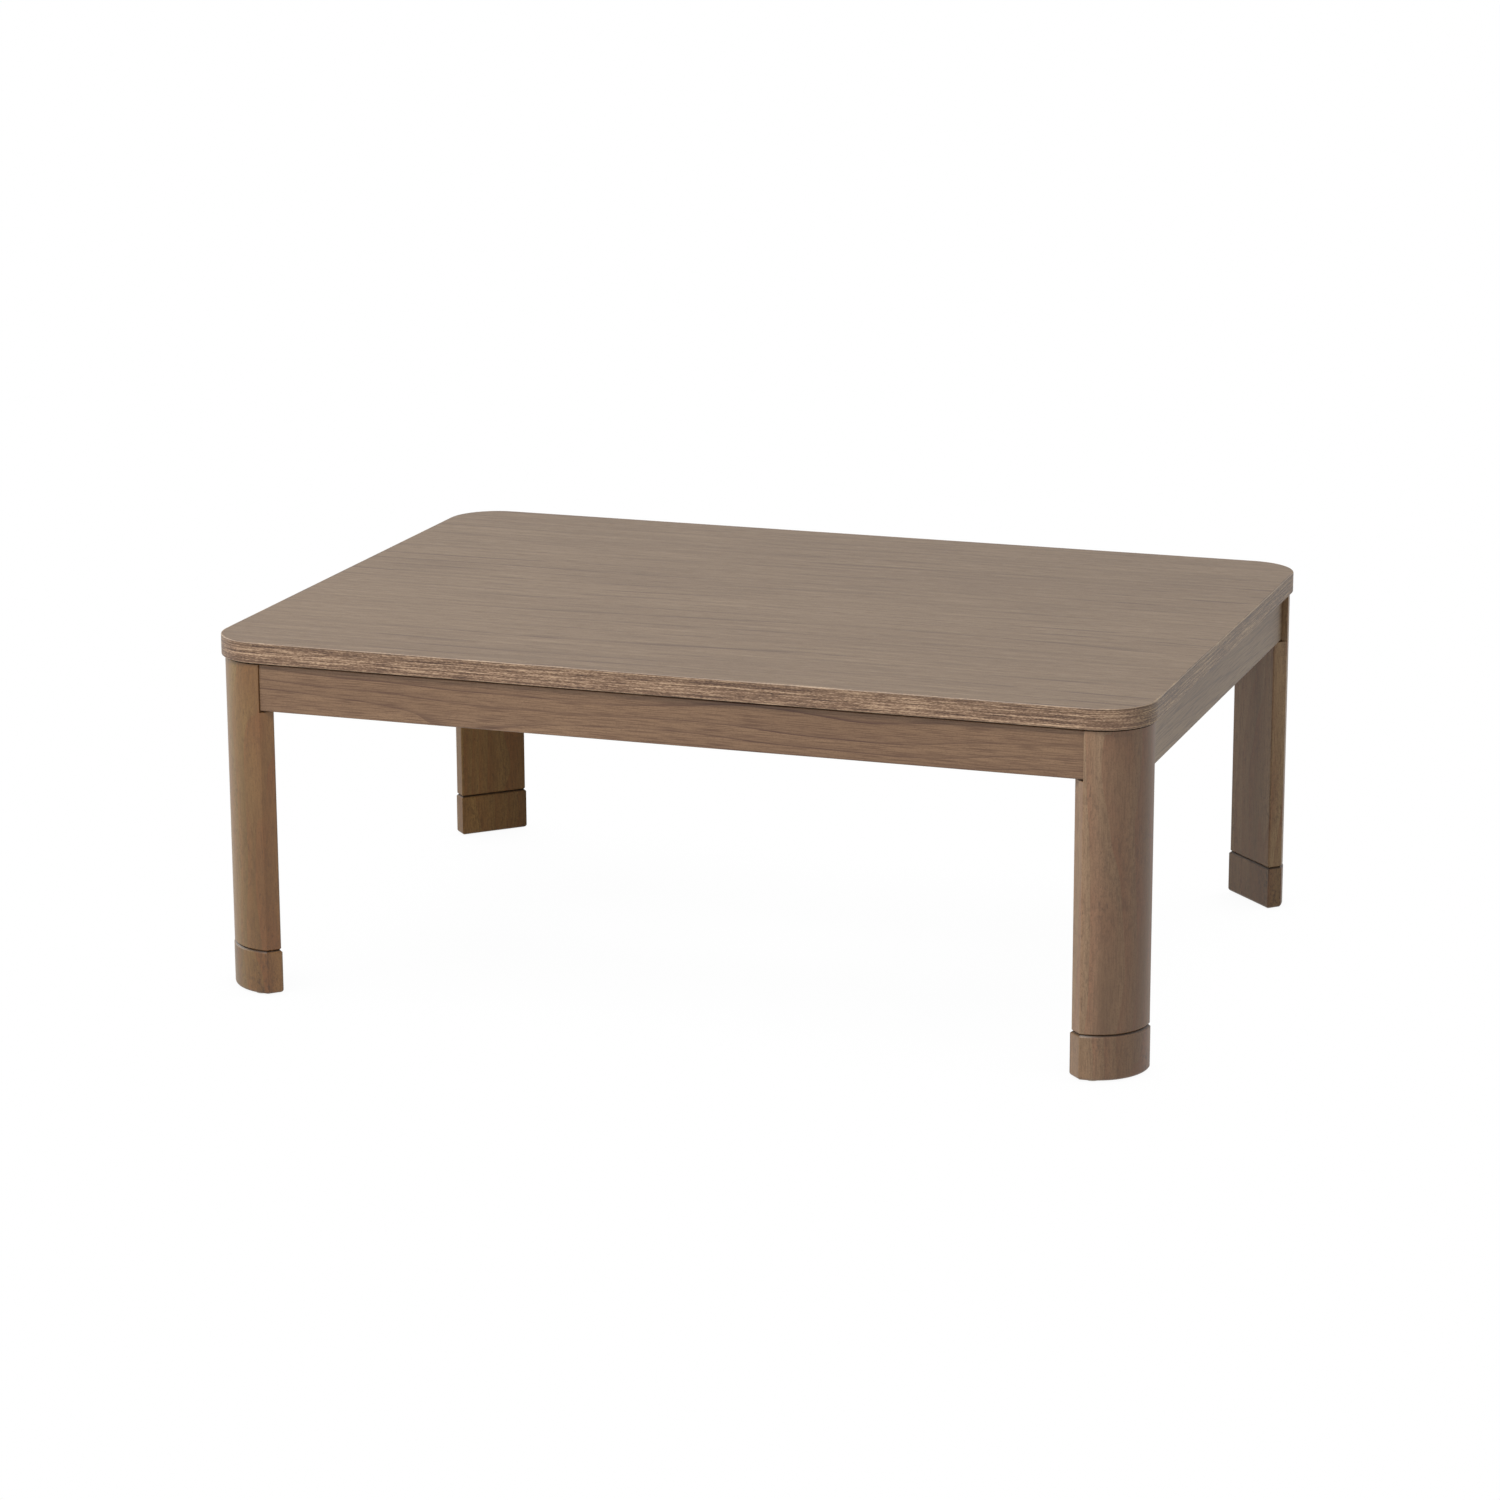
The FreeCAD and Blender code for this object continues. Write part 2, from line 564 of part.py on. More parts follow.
def make_feet():
    foot = slab("foot", [leg_outline("foot_proud")], "glide_proud", "foot_height - glide_proud")
    bevel(foot, "foot_groove", "groove_bevel", lambda edge: lies_at(edge, worth("foot_height")))
    soften(foot, "foot_bottom", "foot_round", lambda edge: lies_at(edge, worth("glide_proud")))
    axis = ("leg_axis_inset", "leg_axis_inset")
    tools = [
        rod("foot_bolt_hole", "bolt_hole_radius", "foot_height + 2 * cut_overrun", *axis, "-cut_overrun"),
        rod("foot_bore", "foot_bore_radius", "foot_bore_depth + cut_overrun",
            *axis, "glide_proud - cut_overrun"),
    ]
    dowels = []
    glides = []
    for side in (-1, 1):
        beside = beside_axis(side, "dowel_spread")
        tools.append(rod(
            f"foot_dowel_hole{side}", "dowel_radius + fit_gap", "dowel_in_foot + fit_gap + cut_overrun",
            *beside, "foot_height - dowel_in_foot - fit_gap"))
        dowels.append(rod(
            f"foot_dowel{side}", "dowel_radius", "dowel_in_foot + dowel_in_leg",
            *beside, "foot_height - dowel_in_foot"))
        beside = beside_axis(side, "glide_spread")
        tools.append(rod(
            f"glide_seat_hole{side}", "glide_radius + fit_gap", "glide_seat + cut_overrun",
            *beside, "glide_proud - cut_overrun"))
        tools.append(rod(
            f"glide_nail_hole{side}", "glide_nail_radius + fit_gap",
            "glide_seat + glide_nail_length + fit_gap", *beside, "glide_proud"))
        disc = rod(f"glide_disc{side}", "glide_radius", "glide_proud + glide_seat", *beside, "0")
        nail = rod(f"glide_nail{side}", "glide_nail_radius",
                   "glide_proud + glide_seat + glide_nail_length", *beside, "0")
        glides.append(joined(f"glide{side}", [disc, nail]))
    master = drilled("foot_master", foot, tools)
    seat = "glide_proud + foot_bore_depth"
    shank = rod("foot_bolt_shank", "bolt_radius", f"foot_height + foot_bolt_grip - ({seat})", *axis, seat)
    head = rod("foot_bolt_head", "socket_head_radius", "socket_head_height",
               *axis, f"{seat} - socket_head_height")
    socket = hexagon("foot_bolt_socket", "socket_key_width", "socket_key_depth + cut_overrun",
                     *axis, f"{seat} - socket_head_height - cut_overrun")
    bolt = drilled("foot_bolt", joined("foot_bolt_blank", [shank, head]), [socket])
    for corner in CORNERS:
        keep("foot_" + corner[0], at_corner("foot", [master], corner))
        keep("foot_bolt_" + corner[0], at_corner("foot_bolt", [bolt], corner))
        keep("foot_dowels_" + corner[0], at_corner("foot_dowels", dowels, corner))
        keep("foot_glides_" + corner[0], at_corner("foot_glides", glides, corner))
    sleeve = rod("foot_insert_sleeve", "insert_radius", "insert_length", *axis, "foot_height")
    bore = rod("foot_insert_bore", "bolt_radius + thread_gap", "insert_length + 2 * cut_overrun",
               *axis, "foot_height - cut_overrun")
    keep("foot_inserts", at_all_corners("foot_inserts", [drilled("foot_insert", sleeve, [bore])]))
    bumper = rod("bumper", "bumper_radius", "bumper_seat + board_gap",
                 *axis, f"{FRAME_TOP} - bumper_seat")
    keep("board_bumpers", at_all_corners("board_bumpers", [bumper]))


# Corner brackets with their screws and the leg bolts

def make_bracket():
    far = f"({BEND} + bracket_flange)"
    near_side = "rail_inner_inset"
    back_side = "(rail_inner_inset + bracket_thick)"
    inner_bend = f"({BEND} + bracket_thick * (sqrt(2) - 1))"
    outline = [
        (BEND, near_side), (far, near_side), (far, back_side), (inner_bend, back_side),
        (back_side, inner_bend), (back_side, far), (near_side, far), (near_side, BEND),
    ]
    level = f"{RAIL_MIDDLE} - bracket_height / 2"
    plate = slab("bracket", [outline], level, "bracket_height")
    across = []
    bolts = []
    washers = []
    inserts = []
    washer_start = f"({LEG_FACE} + bracket_thick)"
    head_start = f"({washer_start} + washer_thick)"
    for side in (-1, 1):
        level = bolt_level(side)
        across.append(rod(
            f"bracket_bolt_hole{side}", "bolt_hole_radius", "bracket_thick + 2 * cut_overrun",
            f"{LEG_FACE} - cut_overrun", "0", level, "x"))
        sleeve = rod(f"leg_insert_sleeve{side}", "insert_radius", "insert_length",
                     f"{LEG_FACE} - insert_length", "0", level, "x")
        bore = rod(f"leg_insert_bore{side}", "bolt_radius + thread_gap", "insert_length + 2 * cut_overrun",
                   f"{LEG_FACE} - insert_length - cut_overrun", "0", level, "x")
        inserts.append(drilled(f"leg_insert{side}", sleeve, [bore]))
        ring = rod(f"washer_ring{side}", "washer_radius", "washer_thick",
                   washer_start, "0", level, "x")
        hole = rod(f"washer_hole{side}", "bolt_hole_radius", "washer_thick + 2 * cut_overrun",
                   f"{washer_start} - cut_overrun", "0", level, "x")
        washers.append(drilled(f"washer{side}", ring, [hole]))
        shank = rod(f"leg_bolt_shank{side}", "bolt_radius", f"{head_start} - ({LEG_FACE} - leg_bolt_grip)",
                    f"{LEG_FACE} - leg_bolt_grip", "0", level, "x")
        head = hexagon(f"leg_bolt_head{side}", "hex_head_width", "hex_head_height",
                       head_start, "0", level, "x")
        bolts.append(joined(f"leg_bolt{side}", [shank, head]))
    tools = [turned("bracket_bolt_holes", across)]
    screws = []
    pilots = []
    for spot in ("near", "far"):
        along = f"{BEND} + bracket_screw_{spot}"
        for name, x, y, direction in (("front", along, back_side, "-y"), ("side", back_side, along, "-x")):
            tag = f"_{name}_{spot}"
            tools.append(long_hole("bracket_screw_hole" + tag, "screw_radius + slide_gap", x, y, direction))
            pilots.append(long_hole("rail_pilot" + tag, "screw_radius + fit_gap", x, y, direction))
            screws.append(wood_screw("bracket_screw" + tag, x, y, RAIL_MIDDLE, direction))
    master = drilled("bracket_master", plate, tools)
    for corner in CORNERS:
        keep("corner_bracket_" + corner[0], at_corner("corner_bracket", [master], corner))
    keep("bracket_screws", at_all_corners("bracket_screws", screws))
    keep("leg_bolts", at_all_corners("leg_bolts", [turned("leg_bolt_pair", bolts)]))
    keep("leg_bolt_washers", at_all_corners("leg_bolt_washers", [turned("washer_pair", washers)]))
    keep("leg_bolt_inserts", at_all_corners("leg_bolt_inserts", [turned("insert_pair", inserts)]))
    return at_all_corners("rail_pilots", pilots)


def long_hole(name, radius, x, y, direction):
    """Hole for a bracket screw, as deep as the screw goes."""
    return rod(name, radius, "screw_length + fit_gap", x, y, RAIL_MIDDLE, direction)


def wood_screw(name, x, y, z, direction):
    """Screw whose head sits on the given point, with its shank in the direction."""
    shank = rod(name + "_shank", "screw_radius", "screw_length", x, y, z, direction)
    back = {"-x": "x", "-y": "y"}[direction]
    head = rod(name + "_head", "screw_head_radius", "screw_head_height", x, y, z, back)
    return joined(name, [shank, head])


# Rails and slats

def bar(name, path, level, height, radius):
    """Wooden bar with rounded long edges."""
    body = slab(name, [path], level, height)
    wide = body.Shape.BoundBox.XLength > body.Shape.BoundBox.YLength

    def runs_along(edge):
        length = edge.BoundBox.XLength if wide else edge.BoundBox.YLength
        whole = body.Shape.BoundBox.XLength if wide else body.Shape.BoundBox.YLength
        return abs(length - whole) < NEAR

    soften(body, name + "_edges", radius, runs_along)
    return body


def make_rails_and_slats(pilots):
    slat_dowels, slat_holes = slat_joints()
    end_x = f"(table_length / 2 - {LEG_REACH} - rail_end_gap)"
    end_y = f"(table_depth / 2 - {LEG_REACH} - rail_end_gap)"
    for label, side in (("front_rail", -1), ("back_rail", 1)):
        faces = between(side, "table_depth / 2 - long_rail_inset", SLAT_END)
        rail = bar(label + "_bar", rectangle(f"-{end_x}", end_x, *faces), RAIL_BOTTOM, "rail_height",
                   "rail_round")
        keep(label, drilled(label + "_drilled", rail, [pilots, slat_holes]))
    for label, side in (("left_rail", -1), ("right_rail", 1)):
        inner = "table_length / 2 - rail_inner_inset"
        faces = between(side, "table_length / 2 - short_rail_inset", inner)
        rail = bar(label + "_bar", rectangle(*faces, f"-{end_y}", end_y), RAIL_BOTTOM, "rail_height",
                   "rail_round")
        keep(label, drilled(label + "_drilled", rail, [pilots]))
    outer_edge = f"{SLAT_EDGE} + slat_width"
    screws, screw_holes, flange_holes = heater_screws()
    for label, side in (("heater_slat_left", -1), ("heater_slat_right", 1)):
        faces = between(side, outer_edge, SLAT_EDGE)
        slat = bar(label + "_bar", rectangle(*faces, f"-{SLAT_END}", SLAT_END), SLAT_BOTTOM,
                   "slat_height", "slat_round")
        keep(label, drilled(label + "_drilled", slat, [slat_holes, screw_holes]))
    for label, side in (("heater_slat_front", -1), ("heater_slat_back", 1)):
        faces = between(side, outer_edge, SLAT_EDGE)
        slat = bar(label + "_bar", rectangle(f"-{SLAT_EDGE}", SLAT_EDGE, *faces), SLAT_BOTTOM,
                   "slat_height", "slat_round")
        keep(label, drilled(label + "_drilled", slat, [slat_holes]))
    keep("slat_dowels", slat_dowels)
    keep("heater_screws", screws)
    return flange_holes


def between(side, far, near):
    """The two bounds of a piece on one side of the middle, the lower one first."""
    return (f"-({far})", f"-({near})") if side < 0 else (near, far)


def slat_joints():
    """Dowels at the slats' ends, and the holes that take them."""
    dowels = []
    holes = []
    for side in (-1, 1):
        for end in (-1, 1):
            for row in (-1, 1):
                along = f"{side} * {SLAT_LINE} + {row} * slat_dowel_spread"
                tag = f"{side}{end}{row}"
                joint_y = f"{end} * {SLAT_END} - slat_dowel_reach"
                joint_x = f"{end} * {SLAT_EDGE} - slat_dowel_reach"
                for kind, x, y, direction in (
                        ("long", along, joint_y, "y"), ("cross", joint_x, along, "x")):
                    dowels.append(rod(
                        f"dowel_{kind}{tag}", "slat_dowel_radius", "2 * slat_dowel_reach",
                        x, y, SLAT_MIDDLE, direction))
                    holes.append(rod(
                        f"dowel_hole_{kind}{tag}", "slat_dowel_radius + fit_gap",
                        "2 * slat_dowel_reach", x, y, SLAT_MIDDLE, direction))
    return group("slat_dowel_set", dowels), group("slat_dowel_holes", holes)


def heater_screws():
    """Screws up through the heater's flange, with their holes in slats and flange."""
    screws = []
    pilots = []
    holes = []
    for side in (-1, 1):
        for end in (-1, 1):
            x = f"{side} * ({SLAT_EDGE} + heater_screw_inset)"
            y = f"{end} * heater_screw_spread"
            tag = f"{side}{end}"
            shank = rod("heater_screw_shank" + tag, "screw_radius", "screw_length", x, y, HEATER_CEILING)
            head = rod("heater_screw_head" + tag, "screw_head_radius", "screw_head_height",
                       x, y, f"{HEATER_CEILING} - screw_head_height")
            screws.append(joined("heater_screw" + tag, [shank, head]))
            pilots.append(rod("slat_pilot" + tag, "screw_radius + fit_gap", "screw_length",
                              x, y, HEATER_CEILING))
            holes.append(rod("flange_hole" + tag, "screw_radius + slide_gap", "3 * heater_sheet",
                             x, y, f"{HEATER_CEILING} - heater_sheet"))
    return group("heater_screw_set", screws), group("slat_pilots", pilots), group("flange_holes", holes)


# Heater

def make_heater(flange_holes):
    half = "heater_width / 2"
    shell = square_box("housing_shell", half, HEATER_BOTTOM, SLAT_BOTTOM)
    flange = square_box("housing_flange", f"{half} + heater_flange", HEATER_CEILING, SLAT_BOTTOM)
    hollow = square_box("housing_hollow", f"{half} - heater_sheet",
                        f"{HEATER_BOTTOM} - cut_overrun", HEATER_CEILING)
    screws, screw_holes = bezel_screws()
    window = box("inlet_window", *inlet_corners("fit_gap", f"{half} - cut_overrun", f"{half} + cut_overrun"))
    housing = joined("housing_blank", [shell, flange])
    keep("heater_housing", drilled("housing", housing, [hollow, flange_holes, screw_holes, window]))
    make_guard(screw_holes)
    keep("bezel_screws", screws)
    make_reflector()
    make_tubes()
    make_controls()
    make_inlet()


def bezel_screws():
    """One screw in the middle of each side of the bezel, and their holes."""
    screws = []
    holes = []
    level = f"{BEZEL_BOTTOM} + bezel_screw_rise"
    face = "(heater_width / 2 + bezel_fit + bezel_sheet)"
    for tag, x, y, inward, outward in (
            ("left", f"-{face}", "0", "x", "-x"), ("right", face, "0", "-x", "x"),
            ("front", "0", f"-{face}", "y", "-y"), ("back", "0", face, "-y", "y")):
        shank = rod("bezel_shank_" + tag, "bezel_screw_radius", "bezel_screw_length", x, y, level, inward)
        head = rod("bezel_head_" + tag, "bezel_head_radius", "bezel_head_height", x, y, level, outward)
        screws.append(joined("bezel_screw_" + tag, [shank, head]))
        holes.append(rod("bezel_hole_" + tag, "bezel_screw_radius + fit_gap",
                         "bezel_screw_length + fit_gap", x, y, level, inward))
    return group("bezel_screw_set", screws), group("bezel_screw_holes", holes)


def make_guard(screw_holes):
    half = "heater_width / 2"
    plate = square_box("guard_plate", f"{half} - guard_margin", GUARD_BOTTOM, HEATER_BOTTOM)
    slots = []
    half_length = f"(({SLOT_FIELD} + slot_bar) / {SLOT_COLUMNS} - slot_bar) / 2"
    half_width = f"(({SLOT_FIELD} + slot_web) / {SLOT_ROWS} - slot_web) / 2"
    for column in range(SLOT_COLUMNS):
        for row in range(SLOT_ROWS):
            x = f"{column - (SLOT_COLUMNS - 1) / 2} * ({SLOT_FIELD} + slot_bar) / {SLOT_COLUMNS}"
            y = f"{row - (SLOT_ROWS - 1) / 2} * ({SLOT_FIELD} + slot_web) / {SLOT_ROWS}"
            slots.append(box(
                f"guard_slot_{column}_{row}",
                (f"{x} - {half_length}", f"{y} - {half_width}", f"{GUARD_BOTTOM} - cut_overrun"),
                (f"{x} + {half_length}", f"{y} + {half_width}", f"{HEATER_BOTTOM} + cut_overrun")))
    keep("heater_guard", drilled("guard", plate, slots))
    outside = f"{half} + bezel_fit + bezel_sheet"
    block = square_box("bezel_block", outside, BEZEL_BOTTOM, f"{BEZEL_BOTTOM} + bezel_height")
    inside = square_box("bezel_inside", f"{half} + bezel_fit", GUARD_BOTTOM,
                        f"{BEZEL_BOTTOM} + bezel_height + cut_overrun")
    window = square_box("bezel_window", f"{GUARD_WINDOW} / 2", f"{BEZEL_BOTTOM} - cut_overrun", HEATER_BOTTOM)
    keep("guard_bezel", drilled("bezel", block, [inside, window, screw_holes]))


def make_reflector():
    """Bent sheet whose section is drawn across and padded along X."""
    edge = "(heater_width / 2 - reflector_side_room)"
    flat = f"({edge} - reflector_slope)"
    low = f"{REFLECTOR_TOP} - reflector_drop"
    under = f"{REFLECTOR_TOP} - reflector_sheet"
    outline = [
        (f"-{edge}", f"{low} - reflector_sheet"), (f"-{flat}", under), (flat, under),
        (edge, f"{low} - reflector_sheet"), (edge, low), (flat, REFLECTOR_TOP),
        (f"-{flat}", REFLECTOR_TOP), (f"-{edge}", low),
    ]
    sheet = slab("reflector", [outline], f"-{PLATE_PLACE}", f"2 * {PLATE_PLACE}", "YZ_Plane")
    keep("heater_reflector", sheet)


def make_tubes():
    plates = []
    caps = []
    buses = []
    for side, away in ((-1, "-x"), (1, "x")):
        low, high = between(side, f"{PLATE_PLACE} + plate_thick", PLATE_PLACE)
        blank = box(f"plate_blank{side}", (low, f"-{PLATE_REACH}", f"{HEATER_BOTTOM} + plate_foot"),
                    (high, PLATE_REACH, HEATER_CEILING))
        holes = []
        for row in (-1, 1):
            tag = f"{side}{row}"
            y = f"{row} * tube_spread"
            holes.append(rod("plate_hole" + tag, "cap_radius + fit_gap", "plate_thick + 2 * cut_overrun",
                             f"{side} * ({PLATE_PLACE} - cut_overrun)", y, TUBE_LEVEL, away))
            blank_cap = rod("cap_blank" + tag, "cap_radius", "cap_length",
                            f"{side} * {CAP_START}", y, TUBE_LEVEL, away)
            seat = rod("cap_seat" + tag, "tube_radius + fit_gap", "tube_seat + cut_overrun",
                       f"{side} * ({CAP_START} - cut_overrun)", y, TUBE_LEVEL, away)
            bore = rod("cap_bore" + tag, "element_radius + fit_gap", "cap_length + 2 * cut_overrun",
                       f"{side} * ({CAP_START} - cut_overrun)", y, TUBE_LEVEL, away)
            caps.append(drilled("cap" + tag, blank_cap, [seat, bore]))
        lead_y = "thermostat_back" if side > 0 else "fuse_back"
        holes.append(rod(f"lead_hole{side}", "lead_hole_radius", "plate_thick + 2 * cut_overrun",
                         f"{side} * ({PLATE_PLACE} - cut_overrun)", lead_y, LEAD_LEVEL, away))
        plates.append(drilled(f"plate{side}", blank, holes))
        low, high = between(side, f"{ELEMENT_END} + bus_thick", ELEMENT_END)
        reach = "(tube_spread + bus_reach)"
        buses.append(box(f"bus{side}", (low, f"-{reach}", f"{TUBE_LEVEL} - bus_height / 2"),
                         (high, reach, f"{TUBE_LEVEL} + bus_height / 2")))
    tubes = []
    elements = []
    half = f"({CAP_START} + tube_seat)"
    for row in (-1, 1):
        y = f"{row} * tube_spread"
        outside = rod(f"tube_outside{row}", "tube_radius", f"2 * {half}", f"-{half}", y, TUBE_LEVEL, "x")
        bore = rod(f"tube_bore{row}", "tube_radius - tube_wall", f"2 * {half} + 2 * cut_overrun",
                   f"-{half} - cut_overrun", y, TUBE_LEVEL, "x")
        tubes.append(drilled(f"tube{row}", outside, [bore]))
        elements.append(rod(f"element{row}", "element_radius", f"2 * {ELEMENT_END}",
                            f"-{ELEMENT_END}", y, TUBE_LEVEL, "x"))
    keep("tube_brackets", group("plate_set", plates))
    keep("tube_end_caps", group("cap_set", caps))
    keep("quartz_tubes", group("tube_set", tubes))
    keep("heating_elements", group("element_set", elements))
    keep("bus_bars", group("bus_set", buses))


def hung_box(name, along, back, width, depth, height):
    """Box that hangs from the housing's ceiling."""
    return box(name, (f"{along} - {width} / 2", f"{back} - {depth} / 2", f"{HEATER_CEILING} - {height}"),
               (f"{along} + {width} / 2", f"{back} + {depth} / 2", HEATER_CEILING))


def make_controls():
    keep("thermostat", hung_box("thermostat_box", "thermostat_along", "thermostat_back",
                                "thermostat_width", "thermostat_width", "thermostat_height"))
    keep("thermal_fuse", hung_box("fuse_box", "fuse_along", "fuse_back",
                                  "fuse_width", "fuse_depth", "fuse_height"))
    right_pin = "inlet_along + pin_spread"
    left_pin = "inlet_along - pin_spread"
    after = f"{PIN_END} - lead_straight"
    climbed = f"{after} - lead_climb"
    bus_top = f"{TUBE_LEVEL} + bus_height / 2"
    leads = (
        ("lead_to_thermostat", (
            (right_pin, PIN_END, INLET_LEVEL), (right_pin, after, INLET_LEVEL),
            ("thermostat_along", climbed, LEAD_LEVEL),
            ("thermostat_along", "thermostat_back + thermostat_width / 2", LEAD_LEVEL))),
        ("lead_to_fuse", (
            (left_pin, PIN_END, INLET_LEVEL), (left_pin, after, INLET_LEVEL),
            ("fuse_along", climbed, LEAD_LEVEL),
            ("fuse_along", "fuse_back + fuse_depth / 2", LEAD_LEVEL))),
        ("lead_to_right_bus", (
            ("thermostat_along + thermostat_width / 2", "thermostat_back", LEAD_LEVEL),
            (BUS_MIDDLE, "thermostat_back", LEAD_LEVEL), (BUS_MIDDLE, "thermostat_back", bus_top))),
        ("lead_to_left_bus", (
            ("fuse_along - fuse_width / 2", "fuse_back", LEAD_LEVEL),
            (f"-{BUS_MIDDLE}", "fuse_back", LEAD_LEVEL), (f"-{BUS_MIDDLE}", "fuse_back", bus_top))),
    )
    wires = []
    for name, route in leads:
        wire = DOC.addObject("Part::Feature", name)
        wire.Shape = swept_wire([Vector(*map(worth, point)) for point in route], worth("lead_radius"))
        wires.append(wire)
    keep("lead_wires", group("lead_set", wires))


def swept_wire(points, radius):
    """Round wire along straight runs joined by arcs that touch them."""
    edges = []
    last = points[0]
    for before, corner, after in zip(points, points[1:], points[2:]):
        back = (before - corner).normalize()
        ahead = (after - corner).normalize()
        half_turn = (math.pi - back.getAngle(ahead)) / 2
        if half_turn < 1e-6:
            continue
        shorter = min((before - corner).Length, (after - corner).Length)
        cut = LEAD_BEND_SHARE * shorter
        start = corner + back * cut
        end = corner + ahead * cut
        bend = cut / math.tan(half_turn)
        middle_direction = (back + ahead).normalize()
        centre = corner + middle_direction * (bend / math.cos(half_turn))
        middle = centre - middle_direction * bend
        edges.append(Part.LineSegment(last, start).toShape())
        edges.append(Part.Arc(start, middle, end).toShape())
        last = end
    edges.append(Part.LineSegment(last, points[-1]).toShape())
    path = Part.Wire(edges)
    section = Part.Wire(Part.Circle(points[0], points[1] - points[0], radius).toShape())
    wire = path.makePipeShell([section], True, False)
    expected = math.pi * radius ** 2 * path.Length
    if abs(wire.Volume / expected - 1) > 0.01:
        raise RuntimeError("a lead's volume doesn't match its length")
    return wire


LEAD_BEND_SHARE = 0.45


def inlet_corners(grow, low_y, high_y):
    """Two corners of a box round the inlet's axis, grown sideways."""
    half_x = f"(inlet_width / 2 + {grow})"
    half_z = f"(inlet_height / 2 + {grow})"
    low = (f"inlet_along - {half_x}", low_y, f"{INLET_LEVEL} - {half_z}")
    high = (f"inlet_along + {half_x}", high_y, f"{INLET_LEVEL} + {half_z}")
    return low, high


def make_inlet():
    wall = "heater_width / 2"
    mouth = f"({wall} + inlet_lip_thick)"
    barrel = box("inlet_barrel", *inlet_corners("0", INLET_END, wall))
    lip = box("inlet_flange", *inlet_corners("inlet_lip", wall, mouth))
    recess = box("inlet_hollow", *inlet_corners("-inlet_wall", f"{mouth} - inlet_recess",
                                                f"{mouth} + cut_overrun"))
    holes = []
    pins = []
    recess_end = f"({mouth} - inlet_recess)"
    tail_length = f"{recess_end} - {PIN_END}"
    for side in (-1, 1):
        x = f"inlet_along + {side} * pin_spread"
        holes.append(rod(f"pin_hole{side}", "pin_tail_radius + fit_gap", tail_length,
                         x, PIN_END, INLET_LEVEL, "y"))
        tail = rod(f"pin_tail{side}", "pin_tail_radius", tail_length, x, PIN_END, INLET_LEVEL, "y")
        blade = rod(f"pin_front{side}", "pin_radius", "inlet_recess - pin_setback",
                    x, recess_end, INLET_LEVEL, "y")
        pins.append(joined(f"pin{side}", [tail, blade]))
    keep("power_inlet", drilled("inlet", joined("inlet_blank", [barrel, lip]), [recess] + holes))
    keep("inlet_pins", group("pin_set", pins))


def check_document():
    for thing in DOC.Objects:
        if "Invalid" in thing.State or "Error" in thing.State:
            raise RuntimeError(f"{thing.Name} failed")
    for piece in PIECES:
        shape = piece.Shape
        if shape.isNull() or not shape.isValid() or not shape.Solids:
            raise RuntimeError(f"{piece.Label} isn't a valid solid")


def write_pieces():
    os.makedirs("parts", exist_ok=True)
    for piece in PIECES:
        piece.Shape.exportStep(f"parts/{piece.Label}.step")
        box_of = piece.Shape.BoundBox
        print(f"{piece.Label}: {len(piece.Shape.Solids)} solid(s), "
              f"{box_of.XLength:.1f} x {box_of.YLength:.1f} x {box_of.ZLength:.1f} mm")


fill_sheet()
make_board()
make_leg()
make_feet()
rail_pilots = make_bracket()
heater_flange_holes = make_rails_and_slats(rail_pilots)
make_heater(heater_flange_holes)
DOC.recompute()
check_document()
write_pieces()
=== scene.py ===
import math

import bmesh
import bpy
from mathutils import Matrix, Vector


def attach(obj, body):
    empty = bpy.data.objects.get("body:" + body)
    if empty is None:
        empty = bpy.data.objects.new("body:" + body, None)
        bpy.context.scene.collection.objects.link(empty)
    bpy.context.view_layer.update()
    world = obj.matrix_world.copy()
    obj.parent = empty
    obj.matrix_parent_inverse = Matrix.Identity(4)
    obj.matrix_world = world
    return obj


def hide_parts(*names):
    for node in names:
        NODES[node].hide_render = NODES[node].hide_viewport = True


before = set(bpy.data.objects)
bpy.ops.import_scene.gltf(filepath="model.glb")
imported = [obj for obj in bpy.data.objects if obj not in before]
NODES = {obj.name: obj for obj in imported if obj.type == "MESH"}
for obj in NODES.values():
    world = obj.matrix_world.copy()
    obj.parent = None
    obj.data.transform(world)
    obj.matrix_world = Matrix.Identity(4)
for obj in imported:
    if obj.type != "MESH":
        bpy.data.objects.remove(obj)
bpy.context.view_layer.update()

# signs of X and Y at the table's corners
CORNERS = {
    "front_left": (-1, -1),
    "front_right": (1, -1),
    "back_right": (1, 1),
    "back_left": (-1, 1),
}
MM = 0.001
TABLE_HALF_X = 525 * MM
TABLE_HALF_Y = 375 * MM
FOOT_TOP = 50 * MM


def new_object(name, data):
    """Object in the scene that shows this mesh, lamp or camera."""
    made = bpy.data.objects.new(name, data)
    bpy.context.scene.collection.objects.link(made)
    return made


# Colours

def srgb(red, green, blue):
    """Linear colour of an 8-bit sRGB one."""
    return tuple(
        part / 12.92 if part <= 0.04045 else ((part + 0.055) / 1.055) ** 2.4
        for part in (red / 255, green / 255, blue / 255))


def scaled(colour, shade):
    """Colour with each of its parts times that of the shade."""
    return tuple(part * less for part, less in zip(colour, shade))


